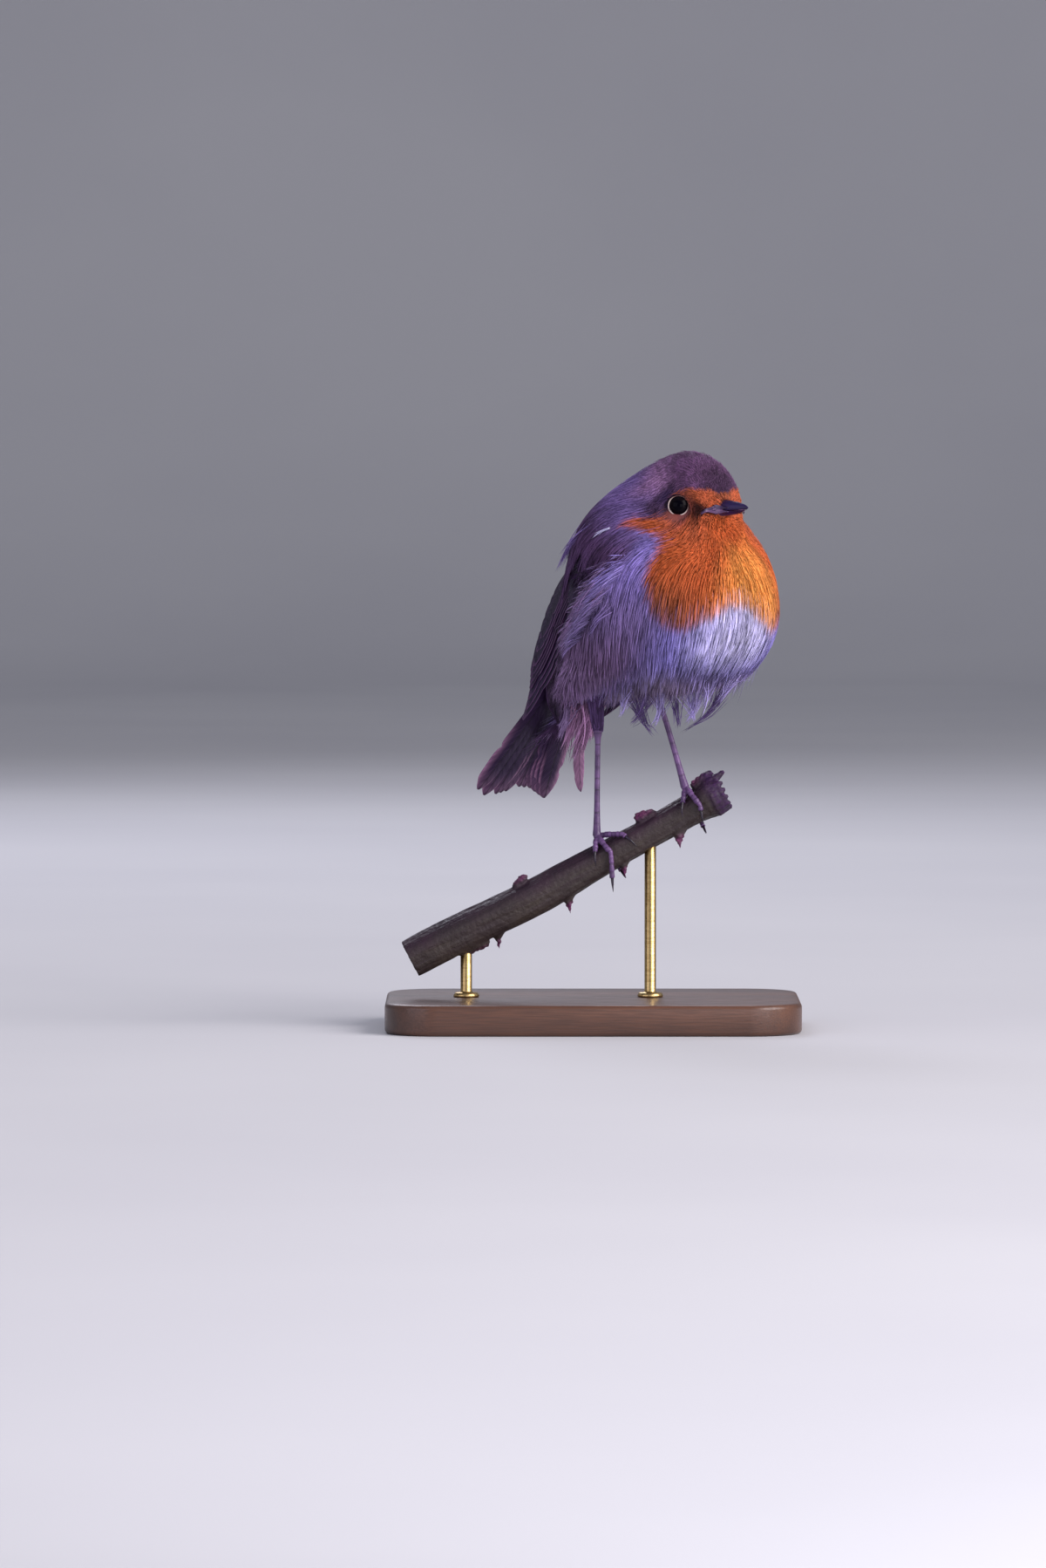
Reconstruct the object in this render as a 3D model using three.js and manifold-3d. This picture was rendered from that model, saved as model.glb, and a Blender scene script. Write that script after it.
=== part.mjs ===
// European robin (Erithacus rubecula), life size, fluffed up and standing on a cut
// length of bramble stem, which two rods hold over a flat display base.
//
// Millimetres, +Z up. The origin is the middle of the base's underside. The stem
// runs along +X towards its raised, torn end. The bird group holds everything that
// is shaped about the bird's own plane of symmetry: there +X is forward, +Y is the
// bird's left and +Z is up.
import * as THREE from "three";
import Module from "manifold-3d";
import { mergeVertices } from "three/addons/utils/BufferGeometryUtils.js";

const wasm = await Module();
wasm.setup();

// ---------------------------------------------------------------- driving sizes
const GAP = 0.3; // clearance between pieces that were cut apart
const BODY_TURN = THREE.MathUtils.degToRad(50); // the bird's heading, clockwise from +X
const HEAD_TURN = THREE.MathUtils.degToRad(5); // the head, back towards +X
const FEET_MIDDLE = 12.9; // along +X, halfway between the two feet

const BASE = { length: 108, width: 70, height: 8, corner: 14, bevel: 1.2 };
const ROD = { radius: 1.5, sunk: 2.4, collarRadius: 3.4, collarHeight: 1.2 };
const RODS = { low: -33, high: 15 }; // where each rod stands, along +X

const STEM = [
  // centre line from the cut end to the torn end: [x, z, radius]
  [-47.5, 17.8, 5.0],
  [-32, 25.9, 4.95],
  [-16, 33.5, 4.85],
  [1.5, 43.4, 4.25],
  [19.5, 53.4, 3.95],
  [27, 57.6, 4.2],
  [31, 60.0, 5.1],
  [34, 61.6, 4.8],
];
const THORN = { length: 3.4, radius: 1.7 };
const THORNS = [
  // [x, degrees round the stem from the top towards -Y, size]
  [-26.5, 176, 1.0],
  [-8.4, 172, 1.1],
  [6.4, 160, 1.0],
  [20.8, 158, 1.15],
];
const LUMPS = [
  // [x from, x to, degrees, heights, radii]: dead buds, a node, and the lifted bark
  [13.4, 18.4, 4, [0.6, -0.6], [2.1, 1.5]],
  [-18.2, -14.6, 8, [-0.8, 1.6], [1.7, 0.9]],
  [-37.5, -29.0, 176, [-1.4, -0.4], [2.0, 1.9]],
  [28.4, 34.0, 0, [-0.3, 0.5], [2.1, 1.7]],
];
const SPLINTERS = 6;

const TARSUS = { ankleRadius: 1.2, shaftRadius: 0.75, heelRadius: 1.15 };
const THIGH = { top: 3.6, bottom: 1.95 };
const TOE_RADIUS = 0.7;
const CLAW = { radius: 0.46, length: 3.9, hook: 1.3 };
const EYE = { radius: 3.1, forward: 3.2, side: 8.2, up: -3.3 };
const HEAD_CENTRE = [21.3, 138.8]; // [forward, up]
const BILL = { tip: 18.6, length: 15, width: 5.4, depth: 4.7, drop: 0.25 };

// The body's outline from the bill's root to the tail's root. Each station is a
// slice from the back's line to the belly's line in the plane of symmetry:
// back [forward, up], belly [forward, up], half width, and how far the widest
// level lies towards the back (0 is halfway).
const STATIONS = [
  { back: [31.0, 137.6], belly: [31.0, 133.6], half: 1.8, lift: 0 },
  { back: [30.8, 140.8], belly: [31.4, 131.8], half: 4.2, lift: 0 },
  { back: [28.8, 145.2], belly: [32.4, 130.4], half: 6.4, lift: 0 },
  { back: [25.0, 148.9], belly: [33.7, 129.0], half: 8.0, lift: 0.05 },
  { back: [19.0, 150.5], belly: [35.0, 127.2], half: 8.8, lift: 0.1 },
  { back: [12.0, 149.1], belly: [36.6, 124.8], half: 10.1, lift: 0.0 },
  { back: [4.6, 145.8], belly: [38.6, 121.2], half: 14.8, lift: -0.1 },
  { back: [-2.8, 140.8], belly: [40.4, 116.7], half: 20.6, lift: 0.05 },
  { back: [-9.2, 134.0], belly: [41.2, 111.0], half: 25.2, lift: 0.1 },
  { back: [-13.6, 125.8], belly: [40.2, 104.5], half: 27.4, lift: 0.05 },
  { back: [-16.2, 117.5], belly: [36.6, 98.3], half: 28.0, lift: 0 },
  { back: [-18.2, 109.5], belly: [31.0, 92.4], half: 26.6, lift: 0 },
  { back: [-20.2, 102.0], belly: [22.5, 87.4], half: 23.8, lift: 0 },
  { back: [-25.4, 98.0], belly: [12.0, 84.2], half: 19.6, lift: 0 },
  { back: [-29.6, 92.4], belly: [0.0, 82.8], half: 15.0, lift: 0 },
  { back: [-32.6, 87.6], belly: [-12.0, 82.4], half: 10.6, lift: 0 },
  { back: [-34.0, 83.6], belly: [-21.4, 81.2], half: 6.4, lift: 0 },
  { back: [-33.8, 80.6], belly: [-29.5, 79.0], half: 2.4, lift: 0 },
];
const BODY_ROWS = 28;
const BODY_COLUMNS = 20;

// The folded wing is a bent sheet between its leading edge, low on the flank, and
// its trailing edge, along the back. [forward, left, up], for the right wing.
const WING_LEADING = [
  [21.0, -20.5, 126.0],
  [11.0, -26.0, 114.0],
  [0.0, -24.0, 102.5],
  [-14.5, -17.6, 91.5],
  [-32.0, -13.0, 79.2],
];
const WING_TRAILING = [
  [13.5, -17.0, 132.0],
  [2.0, -19.5, 127.0],
  [-7.6, -18.4, 117.5],
  [-16.0, -17.0, 106.0],
  [-24.6, -15.2, 95.0],
  [-32.6, -13.4, 81.2],
];
const WING_BULGE = 0.7;
const VANE = 0.55; // thickness of every quill feather
const QUILLS = {
  // from and to are [along, across] on the wing's sheet; width in mm
  primaries: { count: 4, from: [0.16, 0.1], to: [1.0, 0.3], step: [-0.045, 0.15], width: 6.0 },
  secondaries: { count: 3, from: [0.24, 0.45], to: [0.86, 0.62], step: [-0.015, 0.09], width: 6.4 },
  tertials: { count: 3, from: [0.3, 0.72], to: [0.78, 0.84], step: [-0.05, 0.05], width: 6.8 },
};

const TAIL = {
  root: [-15, 108], // [forward, up], inside the rump
  pitch: THREE.MathUtils.degToRad(53), // below the horizon
  length: 61.5,
  width: 7.4,
  // the fan's angles from the tail's middle, outermost right to outermost left
  fan: [-13.1, -9.6, -5.8, -4.2, -2.4, 1.6, 3.4, 5.2, 7.0, 8.6, 10.2, 20.6],
  // each feather's length as a share of the full length
  reach: [0.985, 1.01, 1.0, 0.995, 0.99, 0.97, 0.975, 0.98, 1.0, 1.02, 1.04, 1.06],
};

// ------------------------------------------------------------------- materials
const finish = (color, roughness, metalness = 0) =>
  new THREE.MeshStandardMaterial({ color: new THREE.Color(...color), roughness, metalness });

const MATERIAL = {
  crown: finish([0.14, 0.075, 0.14], 0.85),
  orange: finish([0.62, 0.17, 0.035], 0.85),
  belly: finish([0.4, 0.36, 0.58], 0.9),
  quill: finish([0.05, 0.028, 0.06], 0.6),
  bill: finish([0.025, 0.018, 0.04], 0.35),
  eye: finish([0.004, 0.004, 0.006], 0.08),
  leg: finish([0.17, 0.09, 0.18], 0.5),
  claw: finish([0.02, 0.012, 0.02], 0.3),
  stem: finish([0.1, 0.065, 0.06], 0.7),
  wood: finish([0.09, 0.045, 0.025], 0.4),
  brass: finish([0.6, 0.42, 0.18], 0.3, 1),
};

// --------------------------------------------------------------------- solids
// A closed geometry as a solid. Its normals and uvs go, so that shared points merge.
function solidOf(geometry) {
  const bare = geometry.clone();
  bare.deleteAttribute("normal");
  bare.deleteAttribute("uv");
  const merged = mergeVertices(bare, 1e-3);
  const make = (triVerts) =>
    new wasm.Manifold(
      new wasm.Mesh({ numProp: 3, vertProperties: merged.attributes.position.array, triVerts }),
    );
  const triVerts = new Uint32Array(merged.index.array);
  const solid = make(triVerts);
  return solid.volume() > 0 ? solid : make(triVerts.slice().reverse());
}

// A closed skin over a sphere's grid of rows and columns: place(u, v) gives the
// point at u from pole to pole and v once round, each from 0 to 1.
function skin(rows, columns, place) {
  const geometry = new THREE.SphereGeometry(1, columns, rows);
  const points = geometry.attributes.position;
  for (let row = 0; row <= rows; row += 1) {
    for (let column = 0; column <= columns; column += 1) {
      const p = place(row / rows, (column % columns) / columns);
      points.setXYZ(row * (columns + 1) + column, p.x, p.y, p.z);
    }
  }
  return solidOf(geometry);
}

// A solid with its points moved by a matrix.
const moved = (solid, matrix) => solid.transform(matrix.elements);

// The geometry of a solid, for a THREE.Mesh.
function geometryOf(solid) {
  const { numProp, numVert, vertProperties, triVerts } = solid.getMesh();
  const points = new Float32Array(numVert * 3);
  for (let i = 0; i < numVert; i += 1) {
    points.set(vertProperties.subarray(i * numProp, i * numProp + 3), i * 3);
  }
  const geometry = new THREE.BufferGeometry()
    .setAttribute("position", new THREE.BufferAttribute(points, 3))
    .setIndex(new THREE.BufferAttribute(triVerts, 1));
  geometry.computeVertexNormals();
  return geometry;
}

function addPiece(group, name, solid, material) {
  const mesh = new THREE.Mesh(geometryOf(solid), material);
  mesh.name = name;
  group.add(mesh);
}

const vector = (list) => new THREE.Vector3(...list);
const curve = (points) => new THREE.CatmullRomCurve3(points, false, "catmullrom", 0.5);
const mirrored = (solid) => moved(solid, new THREE.Matrix4().makeScale(1, -1, 1));

// A round limb along a curve, with flat ends. radiusAt(t) is its radius at t from 0 to 1.
function limb(path, radiusAt, rows, sides) {
  const upright = new THREE.Vector3(0, 0, 1);
  return skin(rows + 2, sides, (u, v) => {
    const t = THREE.MathUtils.clamp((u * (rows + 2) - 1) / rows, 0, 1);
    if (u === 0 || u === 1) return path.getPoint(t);
    const along = path.getTangent(t);
    const side = new THREE.Vector3().crossVectors(upright, along);
    if (side.length() < 0.2) side.set(0, 1, 0);
    side.normalize();
    const up = new THREE.Vector3().crossVectors(along, side);
    const angle = 2 * Math.PI * v;
    return path
      .getPoint(t)
      .addScaledVector(side, radiusAt(t) * Math.cos(angle))
      .addScaledVector(up, radiusAt(t) * Math.sin(angle));
  });
}

// ----------------------------------------------------------------------- body
const backLine = curve(STATIONS.map(({ back, half }) => vector([back[0], half, back[1]])));
const bellyLine = curve(STATIONS.map(({ belly, lift }) => vector([belly[0], lift, belly[1]])));

// Turns a point of the head about the neck's upright, fading out down the neck.
function turnHead(p) {
  const share = THREE.MathUtils.smoothstep(p.z, 118, 136);
  const angle = HEAD_TURN * share;
  const x = p.x - HEAD_CENTRE[0];
  return new THREE.Vector3(
    HEAD_CENTRE[0] + x * Math.cos(angle) - p.y * Math.sin(angle),
    x * Math.sin(angle) + p.y * Math.cos(angle),
    p.z,
  );
}

// The body's surface at s from the bill's root to the tail's root, and at an angle
// round it from the back over the bird's left side: an ellipse between the two lines.
function bodyPoint(s, angle) {
  const a = backLine.getPoint(s);
  const b = bellyLine.getPoint(s);
  const level = Math.cos(angle) + b.y * Math.sin(angle) ** 2;
  return new THREE.Vector3(
    (a.x + b.x) / 2 + ((a.x - b.x) / 2) * level,
    a.y * Math.sin(angle),
    (a.z + b.z) / 2 + ((a.z - b.z) / 2) * level,
  );
}

function makeBody() {
  return skin(BODY_ROWS, BODY_COLUMNS, (u, v) => {
    const s = THREE.MathUtils.clamp((u * BODY_ROWS - 1) / (BODY_ROWS - 2), 0, 1);
    if (u > 0 && u < 1) return turnHead(bodyPoint(s, 2 * Math.PI * v));
    return turnHead(bodyPoint(s, 0).lerp(bodyPoint(s, Math.PI), 0.5));
  });
}

// Parts a solid along the line between two places in the plane of symmetry, each
// [forward, up]. Returns the piece above the line and the piece below it.
function partAlong(solid, rear, front) {
  const slope = new THREE.Vector2(front[0] - rear[0], front[1] - rear[1]).normalize();
  const up = [-slope.y, 0, slope.x];
  const level = up[0] * rear[0] + up[2] * rear[1];
  const down = up.map((value) => -value);
  return [
    solid.trimByPlane(up, level + GAP / 2),
    solid.trimByPlane(down, -level + GAP / 2),
  ];
}

// A point of the head's own frame, [forward, left, up] from its centre.
const onHead = ([x, y, z]) => turnHead(vector([HEAD_CENTRE[0] + x, y, HEAD_CENTRE[1] + z]));

function makeEye(side, grow = 0) {
  const centre = onHead([EYE.forward, side * EYE.side, EYE.up]);
  const ball = solidOf(new THREE.SphereGeometry(EYE.radius + grow, 12, 7));
  return ball.translate([centre.x, centre.y, centre.z]);
}

// The closed bill: a full, blunt cone with its root inside the head and a faint hook.
function makeBill(grow = 0) {
  const rows = 8;
  return skin(rows, 10, (u, v) => {
    const t = THREE.MathUtils.clamp((u * rows - 1) / (rows - 1), 0, 1);
    const taper = Math.sqrt(1 - t ** 1.6) * 0.95 + 0.05;
    const across = (BILL.width / 2) * (1 - t) ** 0.75 + 0.1 + grow;
    const tall = (BILL.depth / 2) * taper * (1 - 0.35 * t) + grow;
    const tip = u === 0 || u === 1 ? 0 : 1;
    const angle = 2 * Math.PI * v;
    return onHead([
      BILL.tip - BILL.length * (1 - t),
      across * tip * Math.sin(angle),
      -3.0 - BILL.drop * t ** 3 + tall * tip * Math.cos(angle),
    ]);
  });
}

// Splits the bill along the cutting edges into its upper and its lower half.
function splitBill(bill) {
  const slope = -0.045;
  const level = HEAD_CENTRE[1] - 3.45 - slope * HEAD_CENTRE[0];
  const up = [-slope, 0, 1];
  const down = up.map((value) => -value);
  return [bill.trimByPlane(up, level + GAP / 2), bill.trimByPlane(down, -level + GAP / 2)];
}

// ----------------------------------------------------------------------- wings
const leading = curve(WING_LEADING.map(vector));
const trailing = curve(WING_TRAILING.map(vector));

// The folded right wing's sheet, at along from wrist to tip and across from the
// leading to the trailing edge, standing proud in the middle.
function wingPoint(along, across) {
  const a = leading.getPoint(along);
  const b = trailing.getPoint(along);
  const out = new THREE.Vector3(-0.35, -1, 0.25).normalize();
  const proud = WING_BULGE * Math.sin(Math.PI * across) * (1 - along ** 3);
  return a.lerp(b, across).addScaledVector(out, proud);
}

// A feather's vane as a thin closed leaf, pointed at both ends. centreAt(t) is its
// middle line, sideAt(t) points across it, and halfAt(t) is its half width.
function vane(rows, centreAt, sideAt, halfAt, grow = 0) {
  return skin(rows + 2, 4, (u, v) => {
    const t = THREE.MathUtils.clamp((u * (rows + 2) - 1) / rows, 0, 1);
    const centre = centreAt(t);
    if (u === 0 || u === 1) return centre;
    const ahead = centreAt(Math.min(t + 0.05, 1)).sub(centreAt(Math.max(t - 0.05, 0)));
    const side = sideAt(t);
    const normal = new THREE.Vector3().crossVectors(ahead, side).normalize();
    side.crossVectors(normal, ahead).normalize();
    const corner = Math.round(v * 4);
    return centre
      .addScaledVector(side, (halfAt(t) + grow) * (corner % 3 === 0 ? 1 : -1))
      .addScaledVector(normal, (VANE / 2 + grow) * (corner < 2 ? 1 : -1));
  });
}

// Narrow at the root, widest past the middle and bluntly pointed at the tip.
const leafShape = (t) => 0.35 + 0.65 * Math.sin(Math.PI * Math.min(t * 0.8, 0.5)) - 0.85 * t ** 7;

function makeWing() {
  const vanes = [];
  for (const { count, from, to, step, width } of Object.values(QUILLS)) {
    for (let i = 0; i < count; i += 1) {
      const [alongTip, acrossTip] = [to[0] + step[0] * i, to[1] + step[1] * i];
      const [alongRoot, acrossRoot] = [from[0], from[1] + step[1] * i * 0.6];
      const lift = 0.2 * vanes.length;
      const centreAt = (t) => {
        const p = wingPoint(
          THREE.MathUtils.lerp(alongRoot, alongTip, t),
          THREE.MathUtils.lerp(acrossRoot, acrossTip, t),
        );
        return p.addScaledVector(new THREE.Vector3(-0.35, -0.9, 0.25), lift * (0.4 + 0.35 * t));
      };
      const sideAt = (t) => {
        const along = THREE.MathUtils.lerp(alongRoot, alongTip, t);
        return wingPoint(Math.min(along, 0.9), 1).sub(wingPoint(Math.min(along, 0.9), 0));
      };
      vanes.push(vane(4, centreAt, sideAt, (t) => (width / 2) * leafShape(t)));
    }
  }
  return wasm.Manifold.union([makeShoulder(), ...vanes]);
}

// The coverts over the wing's arm: a smooth lens on the sheet's first half.
function makeShoulder() {
  const [rows, columns] = [7, 10];
  return skin(rows, columns, (u, v) => {
    const angle = 2 * Math.PI * v;
    const spread = Math.sin(Math.PI * u) ** 0.6;
    const along = 0.27 - 0.29 * Math.cos(Math.PI * u);
    const across = 0.5 + 0.52 * spread * Math.cos(angle);
    const out = new THREE.Vector3(-0.35, -1, 0.25).normalize();
    const thick = 1.2 * spread * Math.sin(angle);
    return wingPoint(Math.max(along, 0), across).addScaledVector(out, 0.3 + thick);
  });
}

// A sine or cosine that makes a circle into a rounded square.
const squared = (value) => Math.sign(value) * Math.abs(value) ** 0.6;

// The room that the folded wing takes out of the trunk: everything outside a sheet
// that runs just under it.
function wingRoom() {
  return skin(10, 8, (u, v) => {
    const angle = 2 * Math.PI * v;
    const spread = Math.sin(Math.PI * u) ** 0.35;
    const along = 0.5 - 0.56 * Math.cos(Math.PI * u);
    const across = 0.5 + 0.57 * spread * squared(Math.cos(angle));
    const out = new THREE.Vector3(-0.35, -1, 0.25).normalize();
    const outer = squared(Math.sin(angle)) * (Math.sin(angle) > 0 ? 12 : 0.4);
    return wingPoint(THREE.MathUtils.clamp(along, 0, 1), across).addScaledVector(
      out,
      spread * outer - 1.15,
    );
  });
}

// ------------------------------------------------------------------------ tail
// The tail's root, the way its feathers run, the way up from its upper face, and left.
const tailFrame = () => ({
  root: new THREE.Vector3(TAIL.root[0], 0, TAIL.root[1]),
  back: new THREE.Vector3(-Math.cos(TAIL.pitch), 0, -Math.sin(TAIL.pitch)),
  upper: new THREE.Vector3(-Math.sin(TAIL.pitch), 0, Math.cos(TAIL.pitch)),
  left: new THREE.Vector3(0, 1, 0),
});

function makeTail() {
  const { root, back, upper, left } = tailFrame();
  const middle = (TAIL.fan.length - 1) / 2;
  const vanes = TAIL.fan.map((degrees, i) => {
    const angle = THREE.MathUtils.degToRad(degrees);
    const rank = middle - Math.abs(i - middle); // 0 for the outermost, which lies lowest
    const length = TAIL.length * TAIL.reach[i];
    // a feather bends outwards as the fan opens
    const centreAt = (t) => {
      const turned = angle * (0.5 + 0.5 * t);
      const reach = length * (0.3 + 0.7 * t);
      return root
        .clone()
        .addScaledVector(back, reach * Math.cos(turned))
        .addScaledVector(left, reach * Math.sin(turned) + 0.5 * (i - middle) * (1 - t))
        .addScaledVector(upper, 0.26 * rank);
    };
    return vane(3, centreAt, () => left.clone(), (t) => (TAIL.width / 2) * leafShape(t));
  });
  return wasm.Manifold.union(vanes);
}

// The slot in the rump that the fan's root lies in.
function tailRoom() {
  const { root, back, upper, left } = tailFrame();
  const centreAt = (t) =>
    root
      .clone()
      .addScaledVector(back, THREE.MathUtils.lerp(16.5, 46, t))
      .addScaledVector(upper, 0.72);
  return vane(2, centreAt, () => left.clone(), (t) => THREE.MathUtils.lerp(7.4, 18, t), 1.05);
}

// ---------------------------------------------------------------- stem and feet
const stemLine = curve(STEM.map(([x, z, radius]) => vector([x, radius, z])));

// The stem's centre, radius, run and upright at t from its cut to its torn end.
function stemAt(t) {
  const p = stemLine.getPoint(t);
  const tangent = stemLine.getTangent(t);
  const along = new THREE.Vector3(tangent.x, 0, tangent.z).normalize();
  return {
    centre: new THREE.Vector3(p.x, 0, p.z),
    radius: p.y,
    along,
    up: new THREE.Vector3(-along.z, 0, along.x),
  };
}

// The share of the stem's length at which its centre stands at x.
function stemShare(x) {
  let [low, high] = [0, 1];
  for (let i = 0; i < 30; i += 1) {
    const t = (low + high) / 2;
    if (stemLine.getPoint(t).x < x) low = t;
    else high = t;
  }
  return low;
}

// A point over the stem's bark: the angle runs round from the top towards -Y, in
// degrees, and the height is over the bark.
function overBark({ centre, radius, up }, degrees, height) {
  const angle = THREE.MathUtils.degToRad(degrees);
  return centre
    .clone()
    .addScaledVector(up, (radius + height) * Math.cos(angle))
    .addScaledVector(new THREE.Vector3(0, -1, 0), (radius + height) * Math.sin(angle));
}
const besideStem = (x, degrees, height) => overBark(stemAt(stemShare(x)), degrees, height);

function makeThorn([x, degrees, size]) {
  const foot = besideStem(x, degrees, -1);
  const tip = besideStem(x - 1.3 * size, degrees, THORN.length * size);
  const path = curve([foot, foot.clone().lerp(tip, 0.4), tip]);
  return limb(path, (u) => THORN.radius * size * (1 - u) ** 1.4 + 0.14, 3, 5);
}

// A lump or sliver of bark that leaves the stem at one x and ends over another.
function makeLump([x0, x1, degrees, [height0, height1], [radius0, radius1]]) {
  const foot = besideStem(x0, degrees, height0);
  const tip = besideStem(x1, degrees, height1);
  const path = curve([foot, foot.clone().lerp(tip, 0.5), tip]);
  return limb(path, (u) => THREE.MathUtils.lerp(radius0, radius1, u) * (1 - (2 * u - 1) ** 6 * 0.5), 3, 6);
}

function makeStem() {
  const [rows, sides] = [12, 10];
  const core = skin(rows, sides, (u, v) => {
    const t = THREE.MathUtils.clamp((u * rows - 1) / (rows - 2), 0, 1);
    if (u === 0 || u === 1) return stemAt(t).centre;
    return overBark(stemAt(t), 360 * v, 0.14 * Math.cos(10 * Math.PI * v) + 0.1 * Math.sin(23 * t));
  });
  const splinters = [];
  for (let i = 0; i < SPLINTERS; i += 1) {
    const foot = besideStem(31, 60 * i + 24, -1.6);
    const tip = overBark(stemAt(1), 60 * i + 24, -0.5 + 0.4 * Math.cos(i));
    tip.addScaledVector(stemAt(1).along, 2.2 + 1.1 * Math.cos(i * 2.3));
    splinters.push(limb(curve([foot, tip]), (u) => 1.8 - 1.4 * u, 1, 5));
  }
  return wasm.Manifold.union([core, ...THORNS.map(makeThorn), ...LUMPS.map(makeLump), ...splinters]);
}

// A foot's hub stands over the stem at x. Each toe leaves the hub, wraps the stem
// between two angles while it shifts along it, and ends in a straight free part.
const FEET = {
  right: {
    x: 4.0,
    hub: { degrees: 6, height: 1.75 },
    ankle: [-10.8, -6.0, 77.7],
    knee: [-8.0, -10.0, 94.0],
    cuff: 0.95, // where the thigh's feathers end, as a share of the tarsus
    toes: {
      1: { start: -18, end: -150, shift: 0.9, free: 0.6, droop: 0 },
      2: { start: 8, end: 50, shift: 5.4, free: 0.8, droop: 0.4 },
      3: { start: 20, end: 84, shift: 0.9, free: 6.4, droop: 0.9 },
      4: { start: 16, end: 54, shift: -1.9, free: 0.4, droop: 0.15 },
    },
  },
  left: {
    x: 27.0,
    hub: { degrees: 8, height: 1.75 },
    ankle: [-0.8, 5.2, 88.2],
    knee: [6.0, 8.5, 101.0],
    cuff: 0.7,
    toes: {
      1: { start: -18, end: -160, shift: -0.8, free: 0.8, droop: 0 },
      2: { start: 18, end: 48, shift: -1.9, free: 0.6, droop: 0.15 },
      3: { start: 18, end: 88, shift: 0.9, free: 1.4, droop: 0.7 },
      4: { start: -30, end: -80, shift: 1.2, free: 0.6, droop: 0 },
    },
  },
};
const TOE_CLEAR = TOE_RADIUS + 0.32; // a toe's middle line over the bark's ridges

// A toe's middle line, and the direction in which its claw sets out.
function toeLine({ x, hub }, { start, end, shift, free, droop }) {
  const points = [besideStem(x, hub.degrees, hub.height)];
  const bends = 4;
  for (let i = 0; i <= bends; i += 1) {
    const share = i / bends;
    const degrees = THREE.MathUtils.lerp(start, end, share);
    const height = TOE_CLEAR + (hub.height - TOE_CLEAR) * 0.45 * (1 - share) ** 2;
    points.push(besideStem(x + shift * (0.25 + 0.75 * share), degrees, height));
  }
  const last = points[points.length - 1];
  const onward = last.clone().sub(points[points.length - 2]).normalize();
  onward.lerp(new THREE.Vector3(0, 0, -1), droop).normalize();
  const tip = last.clone().addScaledVector(onward, free);
  points.push(tip);
  const inward = besideStem(x + shift, end, -2).sub(last).normalize();
  return { path: curve(points), tip, onward, inward };
}

// Toes swell under each joint.
const toeRadius = (t) => TOE_RADIUS * (1.12 - 0.3 * t + 0.1 * Math.cos(6 * Math.PI * t));

function makeToe(foot, toe, grow = 0) {
  return limb(toeLine(foot, toe).path, (t) => toeRadius(t) + grow, 6, 5);
}

function makeClaw(foot, toe, hind) {
  const { tip, onward, inward } = toeLine(foot, toe);
  const length = CLAW.length * (hind ? 1.3 : 1);
  const start = tip.clone().addScaledVector(onward, GAP);
  const middle = start.clone().addScaledVector(onward, length * 0.5).addScaledVector(inward, 0.1);
  const end = start
    .clone()
    .addScaledVector(onward, length * 0.86)
    .addScaledVector(inward, CLAW.hook);
  return limb(curve([start, middle, end]), (t) => CLAW.radius * (1 - t) + 0.16, 3, 5);
}

// From the bird's frame to the stand's.
const birdMatrix = new THREE.Matrix4()
  .makeRotationZ(-BODY_TURN)
  .setPosition(FEET_MIDDLE, 0, 0);

// The tarsus's ends, in the stand's frame: on the foot's hub and at the ankle.
function tarsusEnds({ x, hub, ankle }) {
  return [besideStem(x, hub.degrees, hub.height + 0.2), vector(ankle).applyMatrix4(birdMatrix)];
}

function makeTarsus(foot, grow = 0) {
  const [low, high] = tarsusEnds(foot);
  const reach = high.clone().sub(low).normalize().multiplyScalar(grow);
  low.sub(reach);
  high.add(reach);
  const path = curve([low, low.clone().lerp(high, 0.35), low.clone().lerp(high, 0.75), high]);
  const { shaftRadius, heelRadius, ankleRadius } = TARSUS;
  const swell = (t) => (heelRadius - shaftRadius) * (1 - t) ** 9 + (ankleRadius - shaftRadius) * t ** 9;
  return limb(path, (t) => shaftRadius + swell(t) + grow, 7, 8);
}

// The feathered thigh, from the knee inside the flank to its cuff on the tarsus.
function makeThigh(foot, grow = 0) {
  const [low, high] = tarsusEnds(foot);
  const cuff = low.lerp(high, foot.cuff);
  const knee = vector(foot.knee).applyMatrix4(birdMatrix);
  const path = curve([cuff, cuff.clone().lerp(knee, 0.5).lerp(high, 0.15), knee]);
  return limb(path, (t) => THIGH.bottom + (THIGH.top - THIGH.bottom) * t + grow, 4, 9);
}

// The largest of a solid's separate bodies.
const largest = (solid) => solid.decompose().reduce((a, b) => (a.volume() > b.volume() ? a : b));

// One leg's pieces, each clear of the ones before it.
function makeLeg(foot) {
  const pieces = { tarsus: makeTarsus(foot) };
  const taken = [makeTarsus(foot, GAP)];
  pieces.thigh = largest(makeThigh(foot).subtract(taken[0]));
  for (const [digit, toe] of Object.entries(foot.toes)) {
    pieces[`toe_${digit}`] = largest(makeToe(foot, toe).subtract(wasm.Manifold.union(taken)));
    pieces[`claw_${digit}`] = makeClaw(foot, toe, digit === "1");
    taken.push(makeToe(foot, toe, GAP));
  }
  return pieces;
}

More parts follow.
